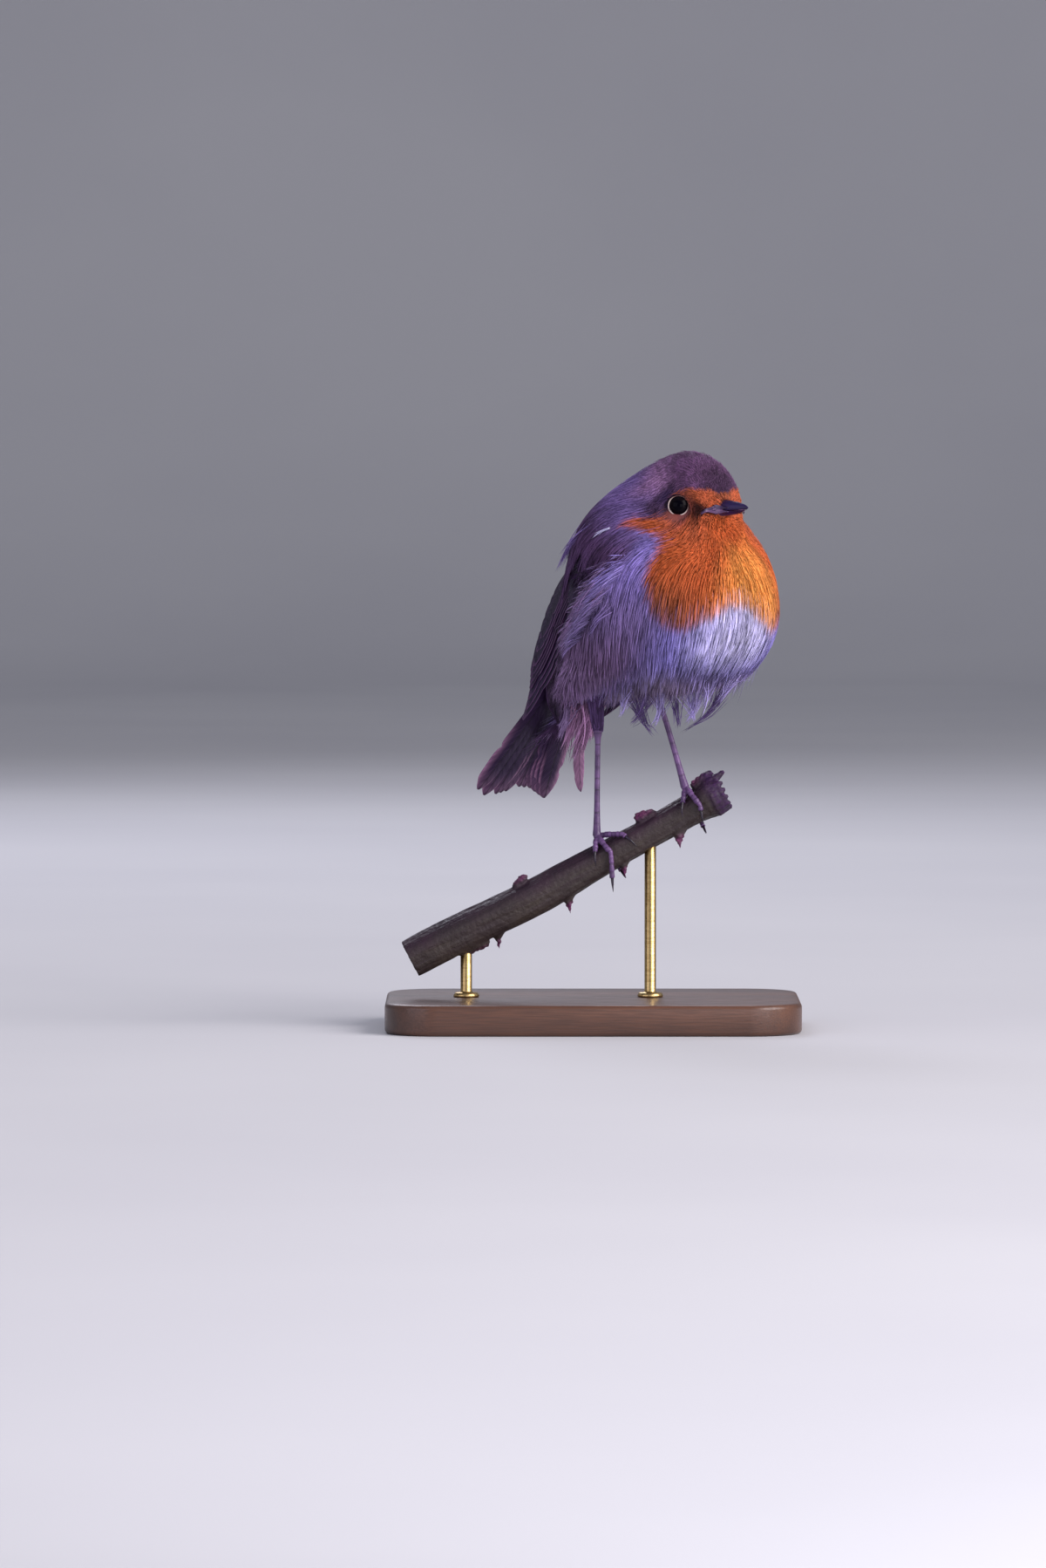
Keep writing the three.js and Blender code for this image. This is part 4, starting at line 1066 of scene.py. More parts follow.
for side, flip in (("right", 1.0), ("left", -1.0)):
    placed = [(to_stand(rings * [1, flip, 1]), u, t, c) for rings, u, t, c in wing_vanes]
    feathers(f"wing_vanes_{side}", placed, [f"wing_{side}"], 8)

# %% The tail's fan
TAIL_ROOT = np.array([-15.0, 0.0, 108.0])
TAIL_PITCH = math.radians(53)
TAIL_LENGTH, TAIL_WIDTH = 61.5, 7.4
FAN = [-13.1, -9.6, -5.8, -4.2, -2.4, 1.6, 3.4, 5.2, 7.0, 8.6, 10.2, 20.6]
REACH = [0.985, 1.01, 1.0, 0.995, 0.99, 0.97, 0.975, 0.98, 1.0, 1.02, 1.04, 1.06]
TAIL_BACK = np.array([-math.cos(TAIL_PITCH), 0.0, -math.sin(TAIL_PITCH)])
TAIL_UPPER = np.array([-math.sin(TAIL_PITCH), 0.0, math.cos(TAIL_PITCH)])
LEFT = np.array([0.0, 1.0, 0.0])


def tail_feather(i):
    """The fan's feather i, from the outermost right. It bends outwards as the fan
    opens, and the middle pair lies highest."""
    middle = (len(FAN) - 1) / 2
    rank = middle - abs(i - middle)

    def centre(t):
        turned = math.radians(FAN[i]) * (0.5 + 0.5 * t)
        r = TAIL_LENGTH * REACH[i] * (0.3 + 0.7 * t)
        sideways = r * np.sin(turned) + 0.5 * (i - middle) * (1 - t)
        sag = 0.26 * rank + 0.5 * t * (1 - t)
        return (TAIL_ROOT + (r * np.cos(turned))[:, None] * TAIL_BACK
                + sideways[:, None] * LEFT + sag[:, None] * TAIL_UPPER)

    rings, u, t = vane(centre, lambda t: np.broadcast_to(LEFT, (len(t), 3)),
                       lambda t: (0.45 if i == len(FAN) - 1 else 1.0) * TAIL_WIDTH / 2
                       * (leaf(t) + 0.85 * t**7 - 0.88 * t**16),
                       depth=0.04, gaps=2)
    shade = TAIL_TONE * RNG.uniform(0.85, 1.2)
    outer = np.sign(i - middle) * u
    rim = smooth(outer, 0.5, 0.95) * smooth(t, 0.4, 0.7)
    rim = rim + smooth(-outer, 0.7, 1.0) * smooth(t, 0.6, 0.8)
    pale = 0.95 if i == len(FAN) - 1 else 0.7
    whole = 0.6 * smooth(t, 0.3, 0.6) if i == len(FAN) - 1 else 0.3 * smooth(t, 0.8, 1.0)
    return to_stand(rings), u, t, mix(shade[None, None] + 0 * u[..., None], TAIL_EDGE,
                                      pale * np.clip(np.maximum(rim, whole), 0, 1))


feathers("tail_vanes", [tail_feather(i) for i in range(len(FAN))], ["tail"], 4)

# %% [markdown]
# ## The coat
#
# The small feathers of a robin end in loose barbs, and wet ones cling together in
# points. So the coat is laid as tufts: thin closed blades with a three-sided section,
# some eighty thousand of them, one array for each region. Blender's hair would be
# lighter to set up, but it isn't mesh and can't be carried away with the model.
#
# Every tuft is rooted in the skin and walks over the body in a few steps, along the
# **lie** of the coat: backwards, turned down by its own weight on the flanks and the
# belly, and round the eye. On its way it rises to the body's outer form. **Clumps**
# draw the tips of neighbours together, weakly on the face and strongly on the belly.
# Long thin **streaks** lie over them, lighter or darker than what they cross, and long
# wet **wisps** hang from the belly.

# %% Fields that shape the coat
LENGTH = np.array([1.0, 1.5, 2.1, 3.0, 4.6, 6.0, 7.4, 8.6, 8.6, 8.4, 9.0])
WIDTH = np.array([0.17, 0.2, 0.22, 0.25, 0.29, 0.31, 0.32, 0.33, 0.33, 0.33, 0.33])
CLUMPING = np.array([0.06, 0.06, 0.06, 0.06, 0.08, 0.12, 0.4, 0.8, 0.8, 0.8, 0.8])
CLUMP_SIZE = np.array([0.6, 0.8, 0.9, 1.1, 1.4, 1.7, 2.2, 2.5, 2.5, 2.5, 2.4])
WING_COVER = 6.0  # mm from the folded wing's sheet within which no tuft is rooted
EYE = dict(radius=3.1, forward=2.2, side=8.3, up=-2.4, opening=3.0)


def on_head(x, y, z):
    """A point of the head's own frame (forward, left, up from its centre)."""
    return turn_head(np.array([HEAD_CENTRE[0] + x, y, HEAD_CENTRE[1] + z], float))


def eye_place(side):
    """The eye's centre and the way it looks, in the bird's frame; side -1 is right."""
    middle = on_head(EYE["forward"], side * EYE["side"], EYE["up"])
    return middle, unit(np.array([0.6, 0.8 * side, 0.06]))


def from_eye(p):
    """Each point's distance from the nearer eye's axis, and the way away from it."""
    best, away = np.full(len(p), 99.0), np.zeros_like(p)
    for side in (-1, 1):
        centre, axis = eye_place(side)
        off = p - centre
        flat = off - dot(off, axis) * axis
        far = np.where(p[:, 1] * side > 0, np.linalg.norm(flat, axis=1), 99.0)
        away = np.where((far < best)[:, None], unit(flat), away)
        best = np.minimum(best, far)
    return best, away


def under_wing(p):
    """True where a point lies well under the folded wing, where no tuft would show."""
    along, across = (g.ravel() for g in grid(np.linspace(0, 1, 30), np.linspace(0, 1, 12)))
    mirrored = p * np.where(p[:, 1:2] > 0, [[1, -1, 1]], [[1, 1, 1]])
    near, far = find_nearest(mirrored, wing_sheet(along, across))
    a, c = along[near], across[near]
    return (far < WING_COVER) & (a > 0.16) & (a < 0.97) & (c > 0.22) & (c < 0.8)


def lie(s, angle, frame_here):
    """The coat's direction on the surface: backwards along the body, plus the share
    of straight down that the surface allows, plus a turn away from the eye."""
    p, by_s, by_angle, normal = frame_here
    side = np.abs(angle)
    down = -UP + dot(normal, UP) * normal
    weight = (0.85 * smooth(s, 0.48, 0.64) * smooth(side, 100, 60) * smooth(s, 0.93, 0.80)
              + 0.35 * smooth(side, 70, 20) * smooth(s, 0.30, 0.45) * smooth(s, 0.75, 0.6))
    near, away = from_eye(p)
    round_eye = 1.3 * np.exp(-(((near - 2.4) / 1.1) ** 2))
    way = unit(by_s) + 1.4 * weight[:, None] * down + round_eye[:, None] * away
    return unit(way - dot(way, normal) * normal)


def walk(s, angle, length, turn, steps):
    """Points, normals, directions and (s, angle) of tufts that walk over the form.
    Each step is the pair of changes in s and angle whose slopes add up to its vector."""
    points, normals, ways, places = [], [], [], []
    for k in range(steps + 1):
        here = body_frame(np.clip(s, 0, 1), angle)
        p, by_s, by_angle, normal = here
        beyond = np.maximum(s - 1, 0)[:, None] * by_s
        way = lie(np.clip(s, 0, 1), angle, here)
        across = np.cross(normal, way)
        way = way * np.cos(turn)[:, None] + across * np.sin(turn)[:, None]
        points.append(p + beyond)
        normals.append(normal)
        ways.append(way)
        places.append((s, angle))
        step = way * (length / steps)[:, None]
        ss, aa, sa = dot(by_s, by_s), dot(by_angle, by_angle), dot(by_s, by_angle)
        bs, ba = dot(step, by_s), dot(step, by_angle)
        det = np.maximum(ss * aa - sa * sa, 1e-6)
        s = s + ((bs * aa - ba * sa) / det)[:, 0]
        angle = angle + np.clip(((ba * ss - bs * sa) / det)[:, 0], -25, 25)
    return np.stack(points, 1), np.stack(normals, 1), np.stack(ways, 1), places


def clump_seeds(u, v, size, stretch, seed):
    """The nearest clump's line for each root: the coat is cut into cells, stretched
    along its lie, each with one place chosen by a hash of the cell, and the nearest of
    nine is taken. Returns the step across to it in mm and a share that is its own."""
    p = np.stack([u / (size * stretch), v / size], -1)
    cell = np.floor(p)
    best = np.full(len(p), 1e9)
    across, share = np.zeros(len(p)), np.zeros(len(p))
    for offset in np.ndindex(3, 3):
        c = cell + np.array(offset) - 1
        hashed = [np.abs(np.sin(c @ np.array(k) + seed) * 43758.5453) % 1.0
                  for k in ((12.9898, 78.233), (39.346, 11.135), (73.156, 52.235))]
        gap = c + np.stack(hashed[:2], -1) - p
        far = np.linalg.norm(gap, axis=1)
        closer = far < best
        best = np.where(closer, far, best)
        across = np.where(closer, gap[:, 1] * size, across)
        share = np.where(closer, hashed[2], share)
    return across, share


# %% Where the tufts are rooted
TUFTS = 68000
rows, columns = 420, 360
s_cell, angle_cell = (cells.ravel() for cells in grid(
    (np.arange(rows) + 0.5) / rows, -180 + 360 * (np.arange(columns) + 0.5) / columns))
cell_form, by_s, by_angle, _ = body_frame(s_cell, angle_cell)
area = np.linalg.norm(np.cross(by_s, by_angle), axis=1)
blade = along_body(WIDTH, s_cell) * along_body(LENGTH, s_cell)
dense = area / blade**0.62
dense = dense * np.where(from_eye(cell_form)[0] < EYE["opening"], 0.0, 1.0)
dense = dense * np.where(under_wing(cell_form), 0.0, 1.0)
sorted_share = np.cumsum(dense) / dense.sum()
chosen = np.searchsorted(sorted_share, (np.arange(TUFTS) + RNG.random(TUFTS)) / TUFTS)
root_s = np.clip(s_cell[chosen] + RNG.uniform(-0.5, 0.5, TUFTS) / rows, 0.002, 0.998)
root_angle = angle_cell[chosen] + RNG.uniform(-0.5, 0.5, TUFTS) * 360 / columns
print("tufts:", TUFTS, "on", round(area.sum() * 360 / rows / columns), "square mm of form")


# %% From roots to blades
def blade_shells(path, across, over, width):
    """Closed blades round paths (blades, steps + 1, 3) in the bird's frame. A section
    is three points: two edges and a ridge, with a half width that swells in the middle.
    Returns points, triangles and the share along each blade."""
    steps = path.shape[1] - 1
    t = np.linspace(0, 1, steps + 1)
    inner = slice(1, steps)
    profile = np.sin(np.pi * np.clip(t[inner] * 0.78 + 0.14, 0, 1)) ** 0.8
    half = (width[:, None] * profile / 2)[..., None]
    rings = np.stack([path[:, inner] + half * across[:, inner],
                      path[:, inner] + 0.8 * half * over[:, inner],
                      path[:, inner] - half * across[:, inner]], 2)
    points, triangles = shells(to_stand(rings), to_stand(path[:, 0]), to_stand(path[:, -1]))
    share = with_poles(t[inner], 3)
    return points, triangles, np.broadcast_to(share, (len(path), len(share)))


def blades(s, angle, length, width, clump, size, hang, steps, stretch=4.0, reach=1.0, flat=False):
    """Blades along walked paths. The height over the skin grows as one minus a power
    of what is left of the blade; the tips are drawn across to their clump's line; the
    hanging share falls with the square of the way."""
    count = len(s)
    by_angle = np.linalg.norm(body_frame(s, angle)[2], axis=1)
    step_across, seed_share = clump_seeds(s * S_SCALE, angle * by_angle, size, stretch, 3.0)
    turn = RNG.normal(0, 0.035, count) + 0.1 * (seed_share - 0.5)
    path, normal, way, places = walk(s, angle, length, turn, steps)
    t = np.linspace(0, 1, steps + 1)
    depth, under = coat_depth(s, angle)[:, None], sunk(s, angle)[:, None]
    rise = (1.04 - 0.25 * clump * (1 - seed_share)) * RNG.uniform(0.9 - 0.1 * clump, 1.02, count)
    rise = rise[:, None] * reach
    height = depth * (-1 + rise * (1 - (1 - t) ** 1.7)) - under
    if flat:
        height = STREAK_DEPTH * ((1 - t) ** 2.5 * -1 + rise * 0.3) - under
    across = unit(np.cross(normal, way))
    round_body = unit(body_frame(s, angle)[2])
    drawn = dot(round_body, across[:, 0])[:, 0] * step_across * clump
    path = path + height[..., None] * normal
    path = path + (drawn[:, None] * t**1.6)[..., None] * across
    path = path - (hang * length)[:, None, None] * (t**2)[None, :, None] * UP
    roll = RNG.normal(0, 0.22, count)[:, None, None]
    tilted = across * np.cos(roll) + normal * np.sin(roll)
    over = normal * np.cos(roll) - across * np.sin(roll)
    ragged = RNG.normal(0, 0.45, count)
    rings = np.stack([plumage(*place, ragged) for place in places], 1)
    rings = mix(rings, (rings[:, -1:] + rings[:, -2:-1]) / 2, 0.35)
    colour = np.concatenate([rings[:, :1], np.repeat(rings[:, 1:-1], 3, axis=1), rings[:, -1:]], 1)
    return (*blade_shells(path, tilted, over, width), seed_share, colour)


PIECE_LIMIT = 198000  # triangles
BAKE_PATCH = 0.003  # the side of a tuft's patch in the bake map


def coat_piece(name, s, angle, made, contrast=1.0):
    """Pieces from blades, each under the limit of triangles. OFBake places each tuft
    as a small patch at its root on the skin's own unwrap (s, angle)."""
    points, triangles, share, clump_share, colour = made
    count, step = points.shape[:2]
    per = len(triangles) // count
    pieces = math.ceil(count * per / PIECE_LIMIT)
    across = np.concatenate([[0.5], np.tile([1.0, 0.5, 0.0], (step - 2) // 3), [0.5]])
    unwrap = np.stack([s, (angle % 360) / 360], -1) * 0.99 + 0.005
    patch = np.stack([np.broadcast_to(across, share.shape), share], -1) - 0.5
    bake = unwrap[:, None] + BAKE_PATCH * patch
    spread = 0.15 * RNG.normal(size=count) + 0.6 * (clump_share - 0.5)
    vary = np.clip(0.5 + contrast * spread, 0, 1)
    colour = np.broadcast_to(colour if colour.ndim == 3 else colour[:, None], points.shape)
    for k, part in enumerate(np.array_split(np.arange(count), pieces)):
        mesh = make_mesh(
            name, points[part], triangles[: len(part) * per],
            values={"along": share[part], "vary": np.repeat(vary[part], step)},
            colours={"plumage": colour[part]}, maps={"OFBake": bake[part]})
        add_piece(f"{name}_{k + 1}" if pieces > 1 else name, mesh, coat_material)


coat_material, tree, shader = new_material(
    "coat_of_barbs", 0.62, 0.12, Sheen_Weight=0.03, Sheen_Roughness=0.45)
base = kept(tree, "plumage", "Color")
vary, along = kept(tree, "vary"), kept(tree, "along")
bright = from_range(tree, vary, 0.0, 1.0, 0.6, 1.4)
# darker towards the roots and lighter at the tips: partly the grey down at the feathers' bases, partly
# painted shade down in the coat
bright = maths(tree, "MULTIPLY", bright, from_range(tree, along, 0.0, 0.8, 0.8, 1.05))
flecks = speckle(tree, 190.0)
patches = from_range(tree, flecks.outputs["Blotch"], 0.0, 1.0, 0.88, 1.1)
bright = maths(tree, "MULTIPLY", bright, patches)
level = put(tree, "ShaderNodeCombineXYZ", {0: bright, 1: bright, 2: bright}).outputs[0]
feed(shader, "Base Color", blend(tree, 1.0, base, level, "MULTIPLY"))
feed(shader, "Roughness", from_range(tree, along, 0.0, 1.0, 0.75, 0.52))

# %% Lay the coat
side = np.abs(root_angle)
low_belly = smooth(side, 72, 30) * smooth(root_s, 0.53, 0.66) * smooth(root_s, 0.97, 0.85)
on_back = smooth(side, 85, 110) * smooth(root_s, 0.36, 0.46)
tuft_length = along_body(LENGTH, root_s) * RNG.uniform(0.8, 1.2, TUFTS)
tuft_length = tuft_length * (1 + 0.25 * low_belly - 0.12 * on_back)
tuft_width = along_body(WIDTH, root_s) * RNG.uniform(0.75, 1.25, TUFTS) * (1 + 0.35 * on_back)
tuft_clump = np.clip(along_body(CLUMPING, root_s) * (1 + 0.25 * low_belly - 0.45 * on_back), 0, 0.9)
tuft_size = along_body(CLUMP_SIZE, root_s)
tuft_hang = 0.35 * low_belly
CONTRAST = {"coat_head": 1.1, "coat_breast": 0.5, "coat_belly": 0.8, "coat_flanks": 1.4,
            "coat_back": 1.4}
REGIONS = {
    # name: which tufts, and how many steps a blade takes
    "coat_head": (root_s < 0.345, 3),
    "coat_breast": ((root_s >= 0.345) & (root_s < 0.56) & (side < 95), 3),
    "coat_belly": ((root_s >= 0.56) & (side < 50), 4),
    "coat_flanks": ((root_s >= 0.56) & (side >= 50) & (side < 95), 4),
    "coat_back": ((root_s >= 0.345) & (side >= 95), 3),
}
for name, (where, steps) in REGIONS.items():
    made = blades(root_s[where], root_angle[where], tuft_length[where], tuft_width[where],
                  tuft_clump[where], tuft_size[where], tuft_hang[where], steps)
    coat_piece(name, root_s[where], root_angle[where], made, CONTRAST[name])

# %% Long streaks that lie on top
STREAKS, STREAK_DEPTH = 10500, 0.8
weight = area * (1 + 0.8 * smooth(s_cell, 0.3, 0.45)) * np.where(dense > 0, 1.0, 0.0)
weight = np.cumsum(weight * (1 - 0.5 * smooth(np.abs(angle_cell), 100, 130)))
chosen = np.searchsorted(weight / weight[-1], RNG.random(STREAKS))
streak_s = s_cell[chosen] + RNG.uniform(-0.5, 0.5, STREAKS) / rows
streak_angle = angle_cell[chosen] + RNG.uniform(-0.5, 0.5, STREAKS)
streak_length = 1.75 * along_body(LENGTH, streak_s) * RNG.uniform(0.7, 1.2, STREAKS)
made = blades(streak_s, streak_angle, streak_length,
              0.66 * along_body(WIDTH, streak_s) * RNG.uniform(0.7, 1.3, STREAKS),
              0.5 * along_body(CLUMPING, streak_s), along_body(CLUMP_SIZE, streak_s),
              0.12 * smooth(np.abs(streak_angle), 80, 30) * smooth(streak_s, 0.5, 0.65), 5, flat=True)
coat_piece("coat_streaks", streak_s, streak_angle, made,
           0.9 + 1.6 * smooth(np.abs(streak_angle), 0, 60) * smooth(streak_s, 0.38, 0.48))

# %% The belly's long wet wisps
WISPS = 2000
weight = np.cumsum(dense * smooth(np.abs(angle_cell), 70, 40) * smooth(s_cell, 0.57, 0.66)
                   * smooth(s_cell, 0.86, 0.78))
chosen = np.searchsorted(weight / weight[-1], RNG.random(WISPS))
wisp_s, wisp_angle = s_cell[chosen], angle_cell[chosen] + RNG.uniform(-0.5, 0.5, WISPS)
made = blades(wisp_s, wisp_angle, RNG.uniform(7, 12, WISPS), RNG.uniform(0.18, 0.3, WISPS),
              np.full(WISPS, 0.95), np.full(WISPS, 3.0), RNG.uniform(0.15, 0.6, WISPS), 5, 2.2, 1.35)
coat_piece("coat_wisps", wisp_s, wisp_angle, made)

# %% Feathers off the body's grid: wing, thighs, bill and single locks
def place_of(p):
    """The nearest place (s, angle) of the body's form to each point."""
    sample = slice(None, None, 37)
    near = find_nearest(p, cell_form[sample])[0]
    return s_cell[sample][near], angle_cell[sample][near]


def lay(name, path, width, colour, facing=None):
    """A piece from free paths in the bird's frame. The blades face a way if it is
    given, and each its own way otherwise."""
    count = len(path)
    along = unit(np.gradient(path, axis=1))
    if facing is None:
        facing = RNG.normal(size=(count, 1, 3))
    else:
        facing = facing + RNG.normal(0, 0.25, (count, 1, 3))
    across = unit(np.cross(along, facing))
    over = np.cross(across, along)
    made = blade_shells(path, across, over, width)
    coat_piece(name, *place_of(path[:, 0]), (*made, RNG.random(count), colour))


def ragged_colours(colour, count, spread=0.16):
    """A colour for each blade, a little lighter or darker than the one given."""
    return colour * np.exp(RNG.normal(0, spread, (count, 1)))


WING_LENGTH = 72.0
WING_TUFTS, WING_EDGE_TUFTS, THIGH_TUFTS = 3000, 950, 900


def over_wing(along, across, length, slant, low, high, flip, steps=4):
    """Paths on the folded wing's sheet: from a root at (along, across) towards the
    wing's tip, slanting across it, and rising from low to high over it."""
    t = np.linspace(0, 1, steps + 1)
    path = wing_sheet(along[:, None] + t * (length / WING_LENGTH)[:, None],
                      across[:, None] + slant[:, None] * t)
    height = low + (high[:, None] - low) * (1 - (1 - t) ** 2)
    return (path + height[..., None] * WING_OUT) * [1, flip, 1]


for side, flip in (("right", 1.0), ("left", -1.0)):
    n = WING_TUFTS
    along, across = 0.34 * RNG.random(n) ** 1.2 - 0.06, RNG.uniform(-0.08, 1.08, n)
    path = over_wing(along, across, RNG.uniform(5, 9, n), RNG.normal(0, 0.05, n), 0.2,
                     2.4 + RNG.uniform(-0.4, 0.5, n) - 1.6 * smooth(along, 0.12, 0.36)
                     - 1.2 * smooth(along, 0.12, 0.0), flip)
    keep_these = (along > 0.1) | (across > 0.4)
    along, across, path, n = along[keep_these], across[keep_these], path[keep_these], keep_these.sum()
    tint = 0.66 * mix(MANTLE, WING_TONE, smooth(along, 0.0, 0.14))
    tint = mix(FLANK_BROWN, tint, smooth(across + RNG.normal(0, 0.06, n), -0.02, 0.12))
    lay(f"coat_wing_{side}", path, RNG.uniform(0.35, 0.7, n), ragged_colours(tint, n, 0.2),
        WING_OUT * [1, flip, 1])
    n = WING_EDGE_TUFTS
    along, across = RNG.uniform(0.02, 0.44, n), RNG.uniform(-0.34, 0.02, n)
    path = over_wing(along, across, RNG.uniform(4, 13, n),
                     RNG.uniform(-0.04, 0.16, n) * smooth(along, 0.4, 0.05)
                     + 0.2 * (RNG.random(n) > 0.92),
                     -0.8, RNG.uniform(2.0, 3.4, n), flip, 5)
    tint = mix(SLATE, FLANK, smooth(along, 0.02, 0.2))
    tint = mix(tint, FLANK_BROWN, smooth(across + 0.4 * along + RNG.normal(0, 0.05, n), -0.16, 0.06))
    tint = mix(tint, BELLY, 0.2 * RNG.random(n) ** 3)
    lay(f"coat_over_wing_{side}", path, RNG.uniform(0.12, 0.28, n),
        ragged_colours(tint, n, 0.25), WING_OUT * [1, flip, 1])

SOCK = dict(right=0.5, left=6.0)  # how far below the ankle the thigh's feathers reach
THIGH = tone(84, 62, 104)
for side, foot in FEET.items():
    n = THIGH_TUFTS
    low, high = shank_ends(foot)
    knee = to_stand(np.array(foot["knee"]))
    sock = high + SOCK[side] * unit(low - high)
    course = from_stand(np.array([knee, (knee + high) / 2, high, sock]))
    t = np.linspace(0, 1, 5)
    u = RNG.uniform(0, 0.78, n)[:, None] + RNG.uniform(0.2, 0.34, n)[:, None] * t
    middle = spline(course, u)
    turn = RNG.uniform(0, 2 * np.pi, n)[:, None]
    radial = np.stack([np.cos(turn), np.sin(turn), 0 * turn], -1)
    radius = 0.95 + 1.5 * smooth(u, 0.95, 0.15) - 0.5 * (1 - t) ** 2
    lay(f"coat_thigh_{side}", middle + radius[..., None] * radial, RNG.uniform(0.2, 0.4, n),
        ragged_colours(THIGH, n, 0.3), radial)


def bristles(n=360):
    """Short feathers that lie forward over the bill's base, from the face to the horn."""
    root_s = RNG.uniform(0.006, 0.06, n)
    angle = RNG.uniform(84, 180, n) * RNG.choice([-1, 1], n)
    form, _, _, normal = body_frame(root_s, angle)
    start, ahead = on_head(9.4, 0, -3.0), unit(on_head(11, 0, -3.0) - on_head(9.4, 0, -3.0))
    off = form - start
    radial = unit(off - dot(off, ahead) * ahead)
    goal = start + (0.5 + 1.0 * RNG.random((n, 1)) ** 1.5) * ahead + 1.95 * radial
    t = np.linspace(0, 1, 4)[None, :, None]
    path = (form - 0.2 * normal)[:, None] * (1 - t) + goal[:, None] * t
    path = path + 0.3 * np.sin(np.pi * t) * radial[:, None]
    lay("coat_bill_base", path, RNG.uniform(0.12, 0.2, n),
        ragged_colours(plumage(0.1 * root_s, angle), n, 0.25), radial[:, None])


bristles()

WISP_DARK, WISP_PALE, COVERT = tone(104, 84, 134), tone(182, 168, 222), tone(196, 150, 192)
LOCKS = [
    # blades, width, spread at the root and at the tip, colour, course in the stand's frame
    (40, 0.20, 1.0, 0.60, NAPE, [(-1.8, -16.0, 129.5), (-6.2, -9.3, 125.4), (-9.6, -8.0, 118.8)]),
    (34, 0.20, 0.9, 0.60, NAPE, [(0.0, -18.0, 131.2), (-5.0, -13.0, 127.6), (-9.0, -8.8, 121.8)]),
    (40, 0.20, 1.0, 0.60, MANTLE, [(-3.0, -13.0, 124.0), (-6.6, -10.5, 118.5), (-8.8, -9.5, 113.4)]),
    # painted highlight: a short white glint of light on the shoulder, laid as ten pale blades
    (10, 0.15, 0.15, 0.2, tone(214, 210, 244),
     [(4.3, -25.2, 130.7), (1.8, -24.2, 129.7), (-0.9, -22.9, 127.9)]),
    (40, 0.28, 1.1, 0.50, FLANK_BROWN,
     [(3.2, -30.4, 116.1), (-1.8, -27.6, 111.5), (-4.6, -25.0, 106.0)]),
    (36, 0.28, 1.1, 0.50, FLANK_BROWN,
     [(1.4, -29.4, 112.5), (-2.7, -26.4, 108.4), (-5.6, -22.6, 103.6)]),
    (36, 0.26, 1.2, 0.50, FLANK, [(4.5, -31.6, 111.1), (0.9, -29.6, 107.0), (-1.8, -26.6, 102.2)]),
    (28, 0.20, 1.3, 0.50, WISP_DARK, [(10.7, -12.5, 87.0), (13.2, -11.5, 80.4), (16.1, -11.0, 76.8)]),
    (35, 0.20, 1.6, 0.50, WISP_DARK, [(33.6, -18.5, 89.7), (29.5, -16.5, 82.5), (21.4, -15.0, 77.2)]),
    (32, 0.20, 1.5, 0.50, WISP_PALE, [(17.5, -15.5, 88.8), (17.3, -14.5, 82.9), (15.5, -14.0, 78.8)]),
    (32, 0.20, 1.5, 0.50, WISP_PALE, [(24.1, -18.0, 88.6), (25.7, -16.5, 82.9), (26.6, -16.0, 79.7)]),
    (36, 0.20, 1.8, 0.50, WISP_PALE, [(30.0, -22.0, 92.0), (29.1, -19.0, 86.5), (26.6, -17.0, 81.1)]),
    (27, 0.20, 1.3, 0.50, WISP_PALE, [(8.2, -14.0, 87.4), (7.7, -13.5, 83.8), (7.0, -13.0, 81.2)]),
    (28, 0.20, 1.4, 0.50, WISP_DARK, [(14.1, -14.0, 87.0), (11.8, -13.0, 82.0), (9.5, -12.5, 79.8)]),
    (32, 0.20, 1.6, 0.50, WISP_PALE, [(36.8, -21.0, 93.5), (34.0, -18.5, 88.4), (30.7, -16.5, 83.4)]),
    (24, 0.20, 1.2, 0.50, WISP_DARK, [(20.9, -16.0, 87.0), (21.8, -15.0, 81.1), (21.8, -14.5, 77.5)]),
    (32, 0.20, 1.5, 0.50, WISP_PALE, [(27.3, -19.0, 89.0), (25.9, -17.0, 83.4), (23.2, -15.5, 79.3)]),
    (60, 0.34, 1.5, 0.80, COVERT, [(-0.9, 12.0, 85.5), (-2.8, 16.0, 77.0), (-6.4, 21.0, 67.9)]),
    (60, 0.34, 1.5, 0.80, COVERT, [(-3.6, 13.0, 85.0), (-5.2, 17.0, 78.0), (-7.7, 21.0, 70.5)]),
    (60, 0.34, 1.5, 0.80, COVERT, [(0.9, 11.0, 85.5), (-0.6, 15.0, 77.5), (-3.8, 20.0, 69.3)]),
    (50, 0.34, 1.5, 0.80, COVERT, [(-2.0, 14.0, 85.0), (-3.6, 19.0, 75.0), (-5.2, 25.0, 67.0)]),
    (50, 0.34, 1.5, 0.80, VENT, [(-5.5, 13.0, 84.5), (-7.0, 16.0, 79.0), (-9.0, 20.0, 73.0)]),
    (50, 0.34, 1.5, 0.80, COVERT, [(1.5, 14.0, 85.0), (1.0, 18.0, 79.0), (-1.5, 22.0, 73.5)]),
]
paths, widths, colours = [], [], []
t = np.linspace(0, 1, 7)
for count, width, at_root, at_tip, colour, course in LOCKS:
    line = spline(from_stand(np.array(course)), RNG.uniform(0.4, 1.0, count)[:, None] * t)
    spread = (RNG.normal(0, at_root, (count, 1, 3)) * ((1 - t) ** 1.3)[None, :, None]
              + RNG.normal(0, at_tip, (count, 1, 3)) * (t**1.5)[None, :, None])
    paths.append(line + spread)
    widths.append(width * RNG.uniform(0.7, 1.3, count))
    colours.append(ragged_colours(colour, count, 0.2))
lay("coat_locks", np.concatenate(paths), np.concatenate(widths), np.concatenate(colours))

